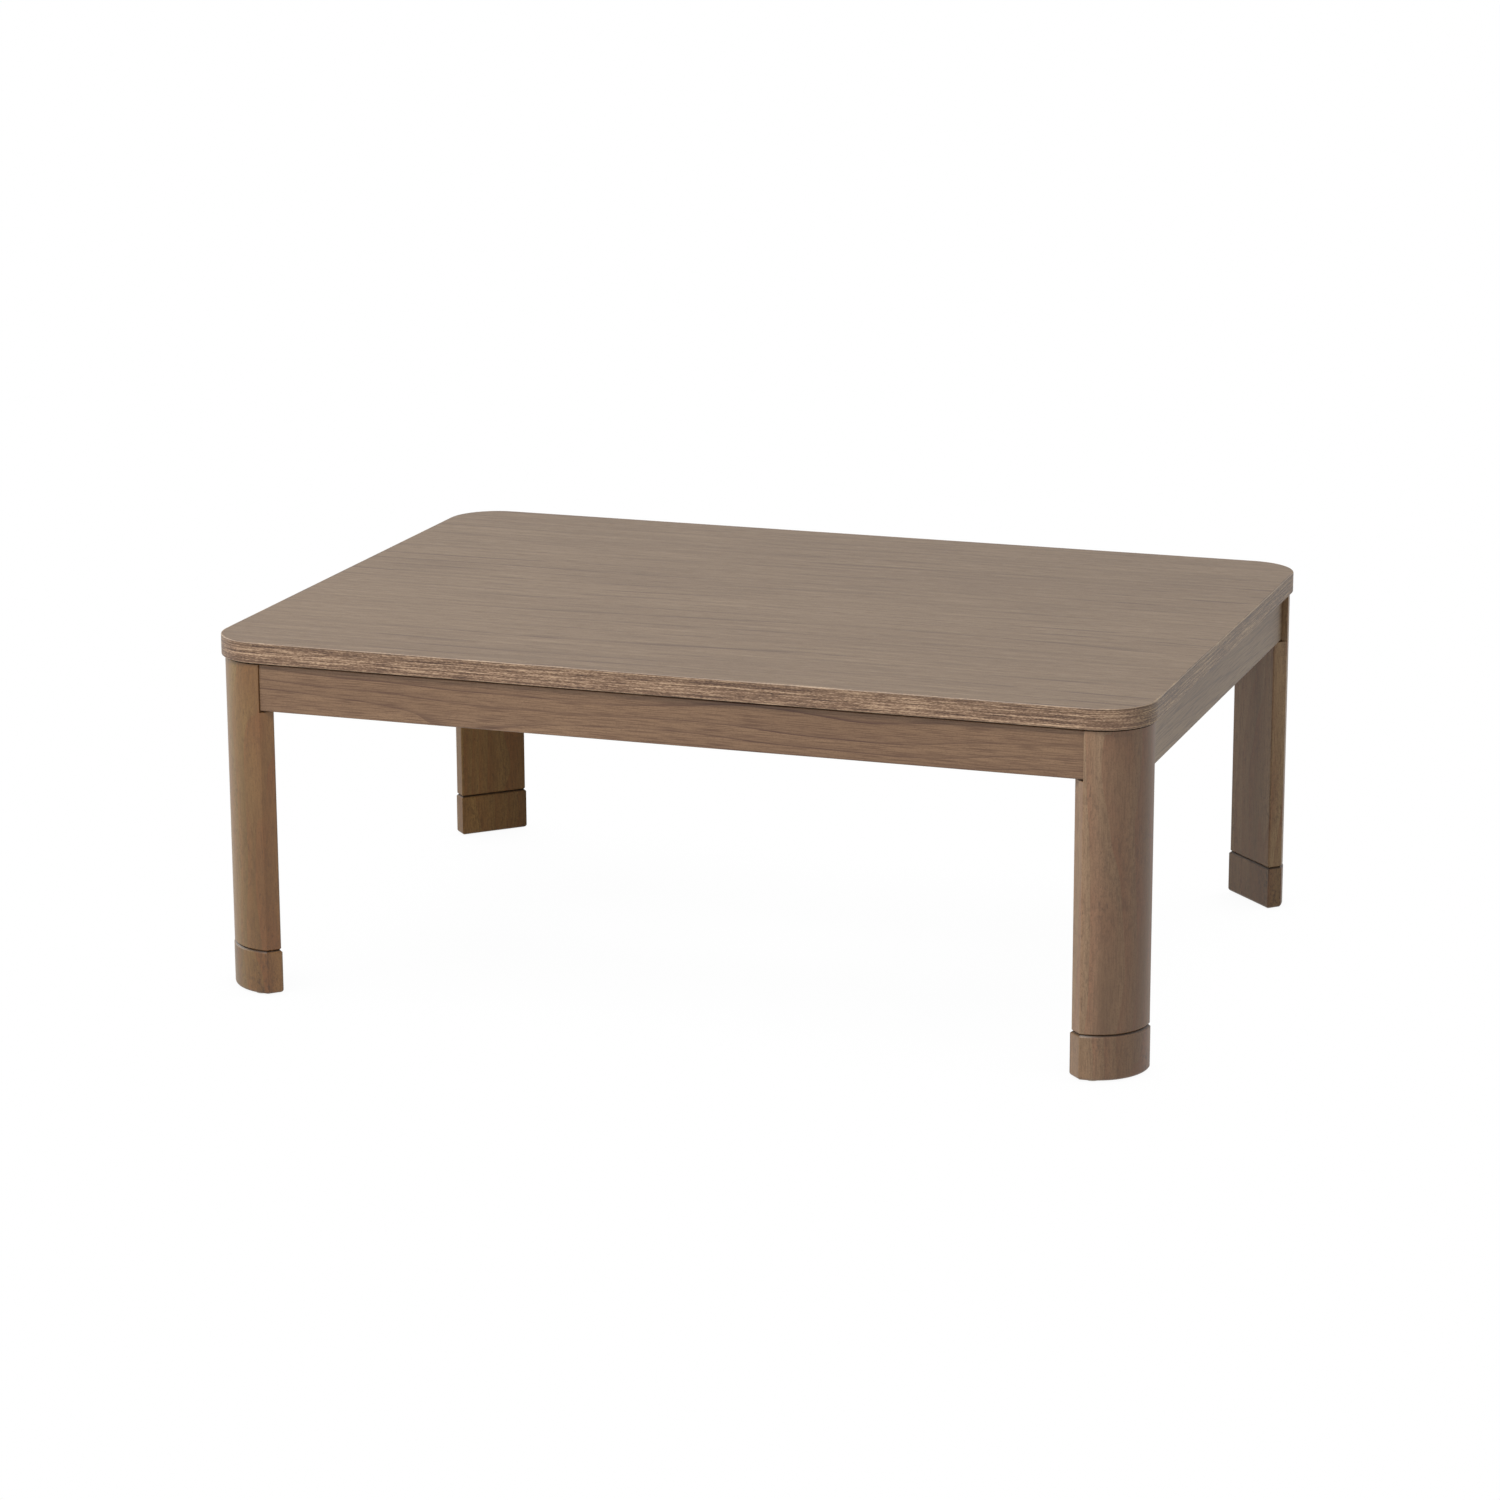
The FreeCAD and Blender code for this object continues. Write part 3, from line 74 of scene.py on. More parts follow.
WHITE = (1.0, 1.0, 1.0)
TOP_TONES = ((0.0, srgb(117, 96, 75)), (0.5, srgb(124, 103, 81)), (1.0, srgb(130, 109, 87)))
TOP_GRAIN = srgb(99, 79, 60)
TOP_PALE = srgb(147, 126, 103)
TOP_STROKE = srgb(76, 53, 40)
EDGE_TONES = ((0.0, srgb(60, 38, 26)), (0.5, srgb(122, 94, 72)), (1.0, srgb(194, 164, 134)))
# painted highlight for the band's top arris and its foot
EDGE_PAINTED_HIGHLIGHT = srgb(200, 180, 158)
# painted shade for the band's ends and its upper part
EDGE_END_PAINTED_SHADE = (0.78, 0.78, 0.66)
EDGE_UPPER_PAINTED_SHADE = (0.84, 0.83, 0.81)
RAIL_TONES = ((0.0, srgb(120, 92, 67)), (0.5, srgb(130, 101, 75)), (1.0, srgb(138, 109, 82)))
RAIL_FIBRE = srgb(88, 61, 43)
RAIL_LINE = srgb(68, 41, 30)
# painted sheen: the side rails' wood made greyer, as the sheen on their faces makes it look
SHORT_RAIL_PAINTED_SHEEN = (0.91, 1.02, 0.98)
LEG_TONES = ((0.0, srgb(106, 82, 58)), (0.45, srgb(122, 96, 70)), (1.0, srgb(138, 111, 83)))
LEG_FIGURE = srgb(118, 82, 58)
LEG_FIBRE = srgb(90, 66, 46)
LEG_SMUDGE = srgb(76, 57, 42)
LEG_PORE = srgb(60, 43, 31)
# painted shade for the V-groove between leg and foot
LEG_GROOVE_SHADE = srgb(44, 32, 24)
FOOT_SHADE = (0.9, 0.88, 0.84)
METAL_BLOTCH = (0.8, 0.8, 0.8)
PLAIN_BLOTCH = (0.82, 0.82, 0.82)

# Where looks change, each as the place where the change starts and the place where it is full

# edge band: painted shade towards the board's ends and up its side, painted highlight into and out of the
# top arris and down to its foot
EDGE_END = (505 * MM, 524 * MM)
EDGE_UPPER = (386 * MM, 399 * MM)
ARRIS_IN = (399.2 * MM, 399.5 * MM)
ARRIS_OUT = (399.98 * MM, 399.85 * MM)
EDGE_FOOT = (377.9 * MM, 377.3 * MM)
# leg: distance from the groove's middle, and sum of the distances from the board's two nearest sides,
# which is largest at the leg's inner flat
GROOVE_SHADOW = (1.7 * MM, 0.6 * MM)
INNER_FLAT = (88.25 * MM, 90.25 * MM)
# leg: how far the painted light and shade runs across to each side of the board's corner
LIGHT_AND_SHADE_REACH = 60 * MM

# depth of the relief in each kind of surface
PRINT_RELIEF = 0.05 * MM
WOOD_RELIEF = 0.1 * MM
ROUGH_RELIEF = 0.2 * MM
FINE_RELIEF = 0.03 * MM


# Materials

class NodeTree:
    """Small helper that builds a tree of shader nodes."""

    def __init__(self, tree, output):
        self.tree = tree
        self.tree.nodes.clear()
        self.output = self.tree.nodes.new(output)

    def node(self, kind, settings=None, **inputs):
        """New node with these settings, its named inputs set or linked."""
        node = self.tree.nodes.new("ShaderNode" + kind)
        for key, value in (settings or {}).items():
            setattr(node, key, value)
        for key, value in inputs.items():
            self.put(node.inputs[key.replace("_", " ")], value)
        return node

    def put(self, socket, value):
        """Links another node's output to the socket, or sets its value."""
        if isinstance(value, bpy.types.NodeSocket):
            self.tree.links.new(value, socket)
        elif isinstance(value, (tuple, list)) and len(value) == 3 and socket.type == "RGBA":
            socket.default_value = (*value, 1)
        else:
            socket.default_value = value

    def show(self, surface):
        """Makes the surface what the tree gives."""
        self.put(self.output.inputs[0], surface)

    def math(self, operation, *terms):
        node = self.node("Math", {"operation": operation})
        for socket, value in zip(node.inputs, terms):
            self.put(socket, value)
        return node.outputs[0]

    def product(self, first, *others):
        for other in others:
            first = self.math("MULTIPLY", first, other)
        return first

    def weighted(self, *terms):
        """Sum of fields, each given with its weight."""
        (first, weight), *others = terms
        total = self.math("MULTIPLY", first, weight)
        for field, weight in others:
            total = self.math("MULTIPLY_ADD", field, weight, total)
        return total

    def ramp(self, field, low, high, from_value=0.0, to_value=1.0):
        """The field spread linearly from one range to another, held at its ends."""
        node = self.node("MapRange", {"clamp": True}, Value=field)
        ends = ("From Min", "From Max", "To Min", "To Max")
        for key, value in zip(ends, (low, high, from_value, to_value)):
            node.inputs[key].default_value = value
        return node.outputs[0]

    def blend(self, factor, first, second):
        """Mix of two surfaces."""
        node = self.node("MixShader", None, Fac=factor)
        self.put(node.inputs[1], first)
        self.put(node.inputs[2], second)
        return node.outputs[0]


class Material(NodeTree):
    """Material whose patterns lie in the table's frame."""

    def __init__(self, name):
        self.material = bpy.data.materials.new(name)
        self.material.use_nodes = True
        super().__init__(self.material.node_tree, "ShaderNodeOutputMaterial")

    def place(self, order="xyz"):
        """Coordinates in metres, the same as the table's frame, in the order asked for."""
        here = self.node("TexCoord").outputs["Object"]
        if order == "xyz":
            return here
        parts = self.node("SeparateXYZ", None, Vector=here).outputs
        first, second, third = (parts[axis.upper()] for axis in order)
        return self.node("CombineXYZ", None, X=first, Y=second, Z=third).outputs[0]

    def coordinate(self, axis, order="xyz"):
        """One of the coordinates."""
        return self.node("SeparateXYZ", None, Vector=self.place(order)).outputs[axis]

    def stretched(self, scale, offset=(0, 0, 0), order="xyz"):
        """The table's coordinates put in order, scaled and moved."""
        return self.node("Mapping", {"vector_type": "POINT"}, Vector=self.place(order),
                         Scale=scale, Location=offset).outputs[0]

    def noise(self, vector, scale, detail, roughness=0.5, distortion=0):
        return self.node("TexNoise", None, Vector=vector, Scale=scale, Detail=detail,
                         Roughness=roughness, Distortion=distortion).outputs["Fac"]

    def grit(self, scale, detail):
        """Noise that is alike in all directions."""
        return self.noise(self.place(), scale, detail)

    def streaks(self, scale, offset=(0, 0, 0), order="xyz", detail=2, roughness=0.5, distortion=0):
        """Noise with as many waves per metre along each axis as its scale says."""
        return self.noise(self.stretched(scale, offset, order), 1, detail, roughness, distortion)

    def rings(self, order, per_metre, wander, field, tail, offset=0.0):
        """Growth rings across the second axis: 1 at each ring's dark line, fading to 0 after it."""
        across = self.coordinate("Y", order)
        drift = self.math("MULTIPLY_ADD", field, wander, offset)
        count = self.math("MULTIPLY_ADD", across, per_metre, drift)
        return self.ramp(self.math("FRACT", count), 0.0, tail, 1.0, 0.0)

    def mix(self, factor, first, second, operation="MIX"):
        """Mix of two colours."""
        node = self.node("MixRGB", {"blend_type": operation})
        for socket, value in zip(node.inputs, (factor, first, second)):
            self.put(socket, value)
        return node.outputs[0]

    def tinted(self, tone, tint):
        """Tone times a tint."""
        return self.mix(1.0, tone, tint, "MULTIPLY")

    def stained_or_shaded(self, tone, stain_and_painted_light, field, low, high, strength):
        """Tone with a stain, or at the leg's groove a painted shade, that grows to its full strength as
        the field goes from low to high.
        """
        return self.mix(self.ramp(field, low, high, 0, strength), tone, stain_and_painted_light)

    def colours(self, factor, stops):
        """Colour that runs through the stops, each a position and a colour."""
        node = self.node("ValToRGB", None, Fac=factor)
        ramp = node.color_ramp
        while len(ramp.elements) < len(stops):
            ramp.elements.new(0.5)
        for element, (position, colour) in zip(ramp.elements, stops):
            element.position = position
            element.color = (*colour, 1)
        return node.outputs[0]

    def bump(self, height, distance, strength):
        return self.node("Bump", None, Height=height, Distance=distance, Strength=strength).outputs[0]

    def principled(self, **inputs):
        """Gives the material a principled surface with these inputs, and returns the material."""
        self.show(self.node("BsdfPrincipled", None, **inputs).outputs[0])
        return self.material


# a piece's grain direction, its width and its depth, as the order of the table's axes
GRAIN_X = "xyz"
GRAIN_X_UPRIGHT = "xzy"
GRAIN_Y = "yxz"
GRAIN_Y_UPRIGHT = "yzx"
GRAIN_Z = "zxy"


def make_top_wood():
    """Printed oak: grey-brown grain along the table, with faint darker strokes."""
    wood = Material("top_wood")
    broad = wood.streaks((0.9, 6, 6))
    grain = wood.streaks((8, 110, 110), (3, 1, 0), detail=5, roughness=0.66)
    lines = wood.streaks((0.6, 130, 130), (1, 7, 2), roughness=0.6)
    fibre = wood.streaks((60, 480, 480), (1, 9, 0), detail=3, roughness=0.7)
    grit = wood.streaks((420, 900, 900), (3, 1, 7), detail=1)
    field = wood.streaks((1.15, 5, 5), (4, 2, 1), roughness=0.3)
    rings = wood.rings(GRAIN_X, per_metre=30.0, wander=3.8, field=field, tail=0.18)
    breaks = wood.streaks((9, 60, 60), (5, 1, 3))
    patch = wood.streaks((2.4, 6, 6), (8, 3, 5), detail=1)
    stroke = wood.product(rings, wood.ramp(breaks, 0.44, 0.54), wood.ramp(patch, 0.4, 0.56, 0.15, 1.0))
    tone = wood.colours(wood.ramp(broad, 0.3, 0.7), TOP_TONES)
    tone = wood.stained_or_shaded(tone, TOP_GRAIN, grain, 0.46, 0.7, 0.85)
    tone = wood.stained_or_shaded(tone, TOP_PALE, grain, 0.44, 0.27, 0.7)
    tone = wood.stained_or_shaded(tone, TOP_GRAIN, lines, 0.6, 0.72, 0.3)
    tone = wood.stained_or_shaded(tone, TOP_PALE, lines, 0.4, 0.3, 0.4)
    tone = wood.mix(stroke, tone, TOP_STROKE)
    tone = wood.stained_or_shaded(tone, TOP_GRAIN, fibre, 0.48, 0.7, 0.6)
    tone = wood.stained_or_shaded(tone, TOP_PALE, grit, 0.46, 0.34, 0.2)
    tone = wood.stained_or_shaded(tone, TOP_GRAIN, grit, 0.54, 0.66, 0.2)
    return wood.principled(Base_Color=tone, Roughness=wood.ramp(fibre, 0.3, 0.7, 0.5, 0.6),
                           Normal=wood.bump(fibre, PRINT_RELIEF, 0.35))


def make_edge_wood():
    """Edge band: short contrasted streaks that run round the board."""
    wood = Material("edge_wood")
    streak = wood.streaks((30, 30, 1350), detail=1)
    layers = wood.streaks((6, 6, 760), (2, 5, 1), detail=1)
    grit = wood.streaks((340, 340, 1600), (4, 1, 2), detail=1)
    mixed = wood.weighted((streak, 0.85), (layers, 0.8), (grit, 0.8))
    tone = wood.colours(wood.ramp(mixed, 0.88, 1.56), EDGE_TONES)
    sideways = wood.math("ABSOLUTE", wood.coordinate("X"))
    height = wood.coordinate("Z")
    # painted shade: the band greyer and darker towards the board's ends, and darker up towards the top
    tone = wood.tinted(tone, wood.mix(wood.ramp(sideways, *EDGE_END), WHITE, EDGE_END_PAINTED_SHADE))
    tone = wood.tinted(tone, wood.mix(wood.ramp(height, *EDGE_UPPER), WHITE, EDGE_UPPER_PAINTED_SHADE))
    # painted highlight along the top arris, and a fainter one at the band's foot
    arris = wood.product(wood.ramp(height, *ARRIS_IN), wood.ramp(height, *ARRIS_OUT))
    painted_highlight = wood.math("MULTIPLY_ADD", arris, 0.45, wood.ramp(height, *EDGE_FOOT, 0, 0.2))
    tone = wood.mix(painted_highlight, tone, EDGE_PAINTED_HIGHLIGHT)
    return wood.principled(Base_Color=tone, Roughness=0.5, Normal=wood.bump(mixed, ROUGH_RELIEF, 0.5))


def make_rail_wood(name, order, shift, shade, lines):
    """Stained wood with long slanted growth lines along the rail, and short dark fibres."""
    wood = Material(name)
    field = wood.streaks((1.7, 11, 11), (shift, 2, 0), order, roughness=0.4)
    core = wood.rings(order, per_metre=66.0, wander=7.0, field=field, tail=0.14)
    edge = wood.rings(order, per_metre=66.0, wander=7.0, field=field, tail=0.7)
    breaks = wood.streaks((11, 190, 190), (shift, 1, 3), order, detail=3)
    patch = wood.streaks((2.4, 14, 14), (shift, 3, 5), order, detail=1)
    fibre = wood.streaks((24, 1050, 1050), (2, shift, 0), order, roughness=0.55)
    grit = wood.streaks((500, 900, 900), (7, shift, 0), order, detail=1)
    broad = wood.streaks((2.2, 22, 22), (5, shift, 0), order)
    line = wood.weighted((core, 0.72), (edge, 0.28))
    line = wood.product(line, wood.ramp(breaks, 0.3, 0.48, 0.45, 1.0),
                        wood.ramp(patch, 0.34, 0.56, 0.45, 1.0), lines)
    tone = wood.colours(wood.ramp(broad, 0.3, 0.7), RAIL_TONES)
    tone = wood.stained_or_shaded(tone, RAIL_FIBRE, fibre, 0.47, 0.62, 0.8)
    tone = wood.stained_or_shaded(tone, RAIL_FIBRE, grit, 0.5, 0.7, 0.35)
    tone = wood.mix(line, tone, RAIL_LINE)
    # painted sheen on the side rails; the long rails are left as they are
    tone = wood.tinted(tone, shade)
    return wood.principled(Base_Color=tone, Roughness=0.5, Normal=wood.bump(fibre, WOOD_RELIEF, 0.4))


def make_leg_wood(name, shift, gloss, stain_and_painted_light, inner_light_and_shade, mottle):
    """Stained rubber wood, upright: soft streaks, figure, smudges and short dark pores."""
    wood = Material(name)
    broad = wood.streaks((24, 24, 1.6), shift, distortion=0.3)
    field = wood.streaks((3, 14, 14), shift, GRAIN_Z, roughness=0.4)
    figure = wood.rings(GRAIN_Z, per_metre=62.0, wander=6.0, field=field, tail=0.8, offset=shift[0])
    fibre = wood.streaks((620, 620, 55), (1, 2, shift[0]), roughness=0.6)
    pore = wood.streaks((800, 800, 150), (3, 1, shift[1]), detail=1)
    patch = wood.streaks((26, 26, 11), (shift[0], 1, 7))
    smudge = wood.streaks((240, 240, 130), (2, shift[1], 1), detail=4, roughness=0.72)
    grit = wood.streaks((820, 820, 480), (1, shift[2], 3), detail=1)
    figures = wood.product(figure, wood.ramp(patch, 0.36, 0.58, 0.3, 0.85))
    smudges = wood.product(wood.ramp(patch, 0.46, 0.62, 0.2, 1.0),
                           wood.ramp(smudge, 0.48, 0.66, 0, mottle))
    pores = wood.product(wood.ramp(pore, 0.66, 0.74), wood.ramp(patch, 0.35, 0.6, 0.15, 0.6))
    from_groove = wood.math("ABSOLUTE", wood.math("SUBTRACT", wood.coordinate("Z"), FOOT_TOP))
    tone = wood.colours(wood.ramp(broad, 0.32, 0.68), LEG_TONES)
    tone = wood.mix(figures, tone, LEG_FIGURE)
    tone = wood.stained_or_shaded(tone, LEG_FIBRE, fibre, 0.46, 0.68, 0.55)
    tone = wood.mix(smudges, tone, LEG_SMUDGE)
    tone = wood.stained_or_shaded(tone, LEG_FIBRE, grit, 0.5, 0.68, 0.4)
    tone = wood.mix(pores, tone, LEG_PORE)
    # painted light and shade: each part of the leg is tinted lighter or darker as the light falls on it
    tone = wood.tinted(tone, light_and_shade_across_leg(wood, stain_and_painted_light, inner_light_and_shade))
    # painted shade: darker in the V-groove between leg and foot, where shade falls
    tone = wood.stained_or_shaded(tone, LEG_GROOVE_SHADE, from_groove, *GROOVE_SHADOW, 0.8)
    relief = wood.math("SUBTRACT", fibre, pores)
    return wood.principled(Base_Color=tone, Roughness=0.42, Specular_IOR_Level=gloss,
                           Normal=wood.bump(relief, WOOD_RELIEF, 0.35))


def light_and_shade_across_leg(wood, stain_and_painted_light, inner_light_and_shade):
    """Painted light and shade that change across a leg, from its side by the short rail to that by the
    long rail.

    The flat face towards the table's middle has painted light and shade of its own."""
    inward_x = wood.math("SUBTRACT", TABLE_HALF_X, wood.math("ABSOLUTE", wood.coordinate("X")))
    inward_y = wood.math("SUBTRACT", TABLE_HALF_Y, wood.math("ABSOLUTE", wood.coordinate("Y")))
    across = wood.math("SUBTRACT", inward_x, inward_y)
    depth = wood.math("ADD", inward_x, inward_y)
    outer = wood.colours(wood.ramp(across, -LIGHT_AND_SHADE_REACH, LIGHT_AND_SHADE_REACH), stain_and_painted_light)
    return wood.mix(wood.ramp(depth, *INNER_FLAT), outer, inner_light_and_shade)


def make_raw_wood(name, order, base, dark, fineness=1.0):
    """Plain planed wood with soft rings."""
    wood = Material(name)
    field = wood.streaks((2, 9 * fineness, 9 * fineness), (1, 0, 0), order)
    rings = wood.rings(order, per_metre=70.0 * fineness, wander=9.0, field=field, tail=0.7)
    fibre = wood.streaks((20, 600, 600), (2, 1, 0), order, detail=3, roughness=0.6)
    tone = wood.mix(wood.product(rings, 0.5), base, dark)
    tone = wood.stained_or_shaded(tone, dark, fibre, 0.45, 0.8, 0.4)
    return wood.principled(Base_Color=tone, Roughness=0.7, Normal=wood.bump(fibre, WOOD_RELIEF, 0.5))


def make_board(name, light, dark):
    """Particle board: chips of several browns."""
    board = Material(name)
    chips = board.node("TexVoronoi", {"feature": "F1"}, Vector=board.stretched((260, 260, 700)),
                       Scale=1)
    grit = board.grit(900, 3)
    tone = board.mix(chips.outputs["Color"], light, dark)
    tone = board.stained_or_shaded(tone, dark, grit, 0.4, 0.8, 0.4)
    return board.principled(Base_Color=tone, Roughness=0.85,
                            Normal=board.bump(grit, ROUGH_RELIEF, 0.5))


def make_metal(name, colour, roughness):
    """Metal with slight darker blotches, and with fine lines along X in its gloss."""
    metal = Material(name)
    lines = metal.streaks((40, 900, 900), detail=4, roughness=0.7)
    tone = metal.stained_or_shaded(colour, scaled(colour, METAL_BLOTCH), metal.grit(60, 3), 0.3, 0.7, 0.35)
    rough = metal.ramp(lines, 0.3, 0.7, roughness - 0.07, roughness + 0.08)
    return metal.principled(Base_Color=tone, Roughness=rough, Metallic=1.0,
                            Normal=metal.bump(lines, FINE_RELIEF, 0.5))


def make_plain(name, colour, roughness):
    """Moulded or painted surface with a fine even grain."""
    plain = Material(name)
    grain = plain.grit(900, 2)
    tone = plain.stained_or_shaded(colour, scaled(colour, PLAIN_BLOTCH), plain.grit(25, 2), 0.3, 0.7, 0.3)
    rough = plain.ramp(grain, 0.3, 0.7, roughness - 0.05, roughness + 0.05)
    return plain.principled(Base_Color=tone, Roughness=rough,
                            Normal=plain.bump(grain, FINE_RELIEF, 0.5))


def make_quartz():
    """Satin quartz glass."""
    glass = Material("quartz")
    rough = glass.ramp(glass.grit(500, 2), 0.3, 0.7, 0.16, 0.26)
    return glass.principled(Base_Color=srgb(236, 226, 216), Roughness=rough, IOR=1.46,
                            Transmission_Weight=0.9)


def make_sleeve():
    """Braided glass sleeve of a lead."""
    sleeve = Material("lead_sleeve")
    braid = sleeve.node("TexWave", {"wave_type": "BANDS", "bands_direction": "DIAGONAL"},
                        Vector=sleeve.place(), Scale=420).outputs["Fac"]
    tone = sleeve.mix(braid, srgb(226, 216, 196), srgb(188, 176, 152))
    return sleeve.principled(Base_Color=tone, Roughness=0.8,
                             Normal=sleeve.bump(braid, WOOD_RELIEF, 0.6))


RAIL_LONG = make_rail_wood("rail_wood", GRAIN_X_UPRIGHT, 1.7, WHITE, lines=0.95)
RAIL_SHORT = make_rail_wood("rail_wood_side", GRAIN_Y_UPRIGHT, 4.2, SHORT_RAIL_PAINTED_SHEEN, lines=0.5)
PINE = (srgb(196, 168, 128), srgb(160, 128, 90))
SLAT_LONG = make_raw_wood("slat_wood", GRAIN_Y, *PINE)
SLAT_CROSS = make_raw_wood("slat_wood_cross", GRAIN_X, *PINE)
BEECH = make_raw_wood("dowel_wood", GRAIN_Z, srgb(206, 178, 138), srgb(176, 144, 104), fineness=4)
BACKING = make_raw_wood("backing_sheet", GRAIN_X, srgb(134, 122, 108), srgb(112, 98, 84), fineness=0.6)
ZINC = make_metal("zinc_steel", srgb(160, 157, 148), 0.32)
BRACKET = make_metal("bracket_steel", srgb(168, 168, 165), 0.38)
BRASS = make_metal("insert_brass", srgb(214, 180, 112), 0.3)
ELEMENT = make_metal("element_wire", srgb(96, 84, 78), 0.5)
RUBBER = make_plain("bumper_rubber", srgb(42, 41, 40), 0.75)
NYLON = make_plain("glide_nylon", srgb(214, 208, 194), 0.5)

LOOKS = {
    "top_face_sheet": make_top_wood(),
    "top_edge_band": make_edge_wood(),
    "top_core": make_board("core_board", srgb(190, 160, 120), srgb(120, 92, 62)),
    "top_backing_sheet": BACKING,
    "front_rail": RAIL_LONG,
    "back_rail": RAIL_LONG,
    "left_rail": RAIL_SHORT,
    "right_rail": RAIL_SHORT,
    "heater_slat_left": SLAT_LONG,
    "heater_slat_right": SLAT_LONG,
    "heater_slat_front": SLAT_CROSS,
    "heater_slat_back": SLAT_CROSS,
    "slat_dowels": BEECH,
    "board_bumpers": RUBBER,
    "bracket_screws": ZINC,
    "leg_bolts": ZINC,
    "leg_bolt_washers": ZINC,
    "heater_screws": ZINC,
    "bezel_screws": ZINC,
    "leg_bolt_inserts": BRASS,
    "foot_inserts": BRASS,
    "heater_housing": make_metal("heater_steel", srgb(172, 175, 178), 0.38),
    "heater_guard": make_plain("guard_steel", srgb(58, 50, 46), 0.55),
    "guard_bezel": make_plain("bezel_steel", srgb(74, 62, 55), 0.5),
    "heater_reflector": make_metal("reflector_aluminium", srgb(226, 226, 228), 0.2),
    "tube_brackets": make_metal("tube_bracket_steel", srgb(176, 178, 180), 0.4),
    "tube_end_caps": make_plain("cap_ceramic", srgb(232, 226, 212), 0.6),
    "quartz_tubes": make_quartz(),
    "heating_elements": ELEMENT,
    "bus_bars": make_metal("bus_brass", srgb(206, 176, 118), 0.34),
    "thermostat": make_plain("control_black", srgb(38, 36, 35), 0.45),
    "thermal_fuse": make_plain("fuse_white", srgb(222, 220, 210), 0.5),
    "lead_wires": make_sleeve(),
    "power_inlet": make_plain("inlet_black", srgb(34, 34, 34), 0.4),
    "inlet_pins": make_metal("pin_metal", srgb(216, 216, 214), 0.18),
}

# each leg's place in the grain, its gloss, its painted light and shade across the leg and that on its
# inner face
LEGS = {
    "front_left": {
        "shift": (1.3, 0.4, 0.2),
        "gloss": 0.5,
        "stain_and_painted_light": ((0.0, (1.1, 1.12, 0.99)), (0.35, (1.23, 1.24, 0.96)), (0.7, (1.26, 1.29, 0.89)),
                  (0.84, (1.11, 1.03, 0.68)), (1.0, (1.03, 0.85, 0.55))),
        "inner_light_and_shade": (0.98, 0.98, 0.92),
    },
    "front_right": {
        "shift": (4.1, 2.2, 1.4),
        "gloss": 0.5,
        "stain_and_painted_light": ((0.0, (1.06, 0.97, 0.84)), (0.3, (0.95, 0.88, 0.82)), (0.6, (0.89, 0.85, 0.83)),
                  (0.78, (1.03, 1.02, 1.05)), (0.85, (1.37, 1.43, 1.56)), (1.0, (1.46, 1.54, 1.66))),
        "inner_light_and_shade": (0.96, 0.96, 0.94),
    },
    "back_right": {
        "shift": (7.7, 5.1, 0.9),
        "gloss": 0.3,
        "stain_and_painted_light": ((0.0, (1.4, 1.48, 1.44)), (0.14, (0.98, 0.98, 0.96)), (1.0, (1.0, 1.0, 0.94))),
        "inner_light_and_shade": (1.07, 1.06, 1.01),
    },
    "back_left": {
        "shift": (2.6, 8.3, 3.3),
        "gloss": 0.2,
        "stain_and_painted_light": ((0.0, (1.12, 1.1, 0.96)), (0.14, (1.0, 0.98, 0.9)), (1.0, (1.0, 0.98, 0.9))),
        "inner_light_and_shade": (1.1, 1.02, 0.66),
    },
}
# the feet are cut from another part of the wood, and are a little darker and more mottled
FOOT_SHIFT = 11.3
LEG_MOTTLE = 0.5
FOOT_MOTTLE = 1.0

# each leg and foot is its own copy of the wood, with the painted light and shade of its corner
for corner, leg in LEGS.items():
    foot = {
        "shift": tuple(part + FOOT_SHIFT for part in leg["shift"]),
        "gloss": leg["gloss"],
        "stain_and_painted_light": tuple((position, scaled(tint, FOOT_SHADE)) for position, tint in leg["stain_and_painted_light"]),
        "inner_light_and_shade": scaled(leg["inner_light_and_shade"], FOOT_SHADE),
    }
    LOOKS["leg_" + corner] = make_leg_wood("leg_wood_" + corner, **leg, mottle=LEG_MOTTLE)
    LOOKS["foot_" + corner] = make_leg_wood("foot_wood_" + corner, **foot, mottle=FOOT_MOTTLE)
    LOOKS["foot_bolt_" + corner] = ZINC
    LOOKS["foot_dowels_" + corner] = BEECH
    LOOKS["foot_glides_" + corner] = NYLON
    LOOKS["corner_bracket_" + corner] = BRACKET

for name, node in NODES.items():
    node.data.materials.clear()
    node.data.materials.append(LOOKS[name])


# Fasteners and other small pieces, built as meshes with the CAD solids' sizes and places

TURN = 2 * math.pi
SHARP_ANGLE = math.radians(38)
SAME_POINT = 0.001 * MM
LEG_AXIS = (492 * MM, 342 * MM)

# Outlines of turned pieces: radius and height of each ring, in millimetres from the piece's seat

BOLT_SIDES = 24
LEG_BOLT_SHANK = ((3.4, -6), (4, -5.4), (4, 0.2))
LEG_BOLT_TIP = ((2.9, -21.9), (3.4, -21.4))
LEG_BOLT_DISH = ((6.1, 5.5), (5.2, 5.2), (1, 5.1))
FOOT_BOLT_SHANK = ((4, 6.5), (4, 38), (3.4, 38.6))
FOOT_BOLT_TIP = ((3.4, 60.4), (2.9, 61))

SOCKET_HEAD_SIDES = 72
SOCKET_HEAD_TOP = ((4, 8), (6.3, 8), (6.5, 7.7), (6.5, 7.2))
SOCKET_HEAD_KNURL = ((6.5, 7), (6.5, 1.2))
SOCKET_HEAD_END = ((6.3, 0.6), (5.8, 0), (3.7, 0))
SOCKET_FLOOR = ((0.3, 4.7),)

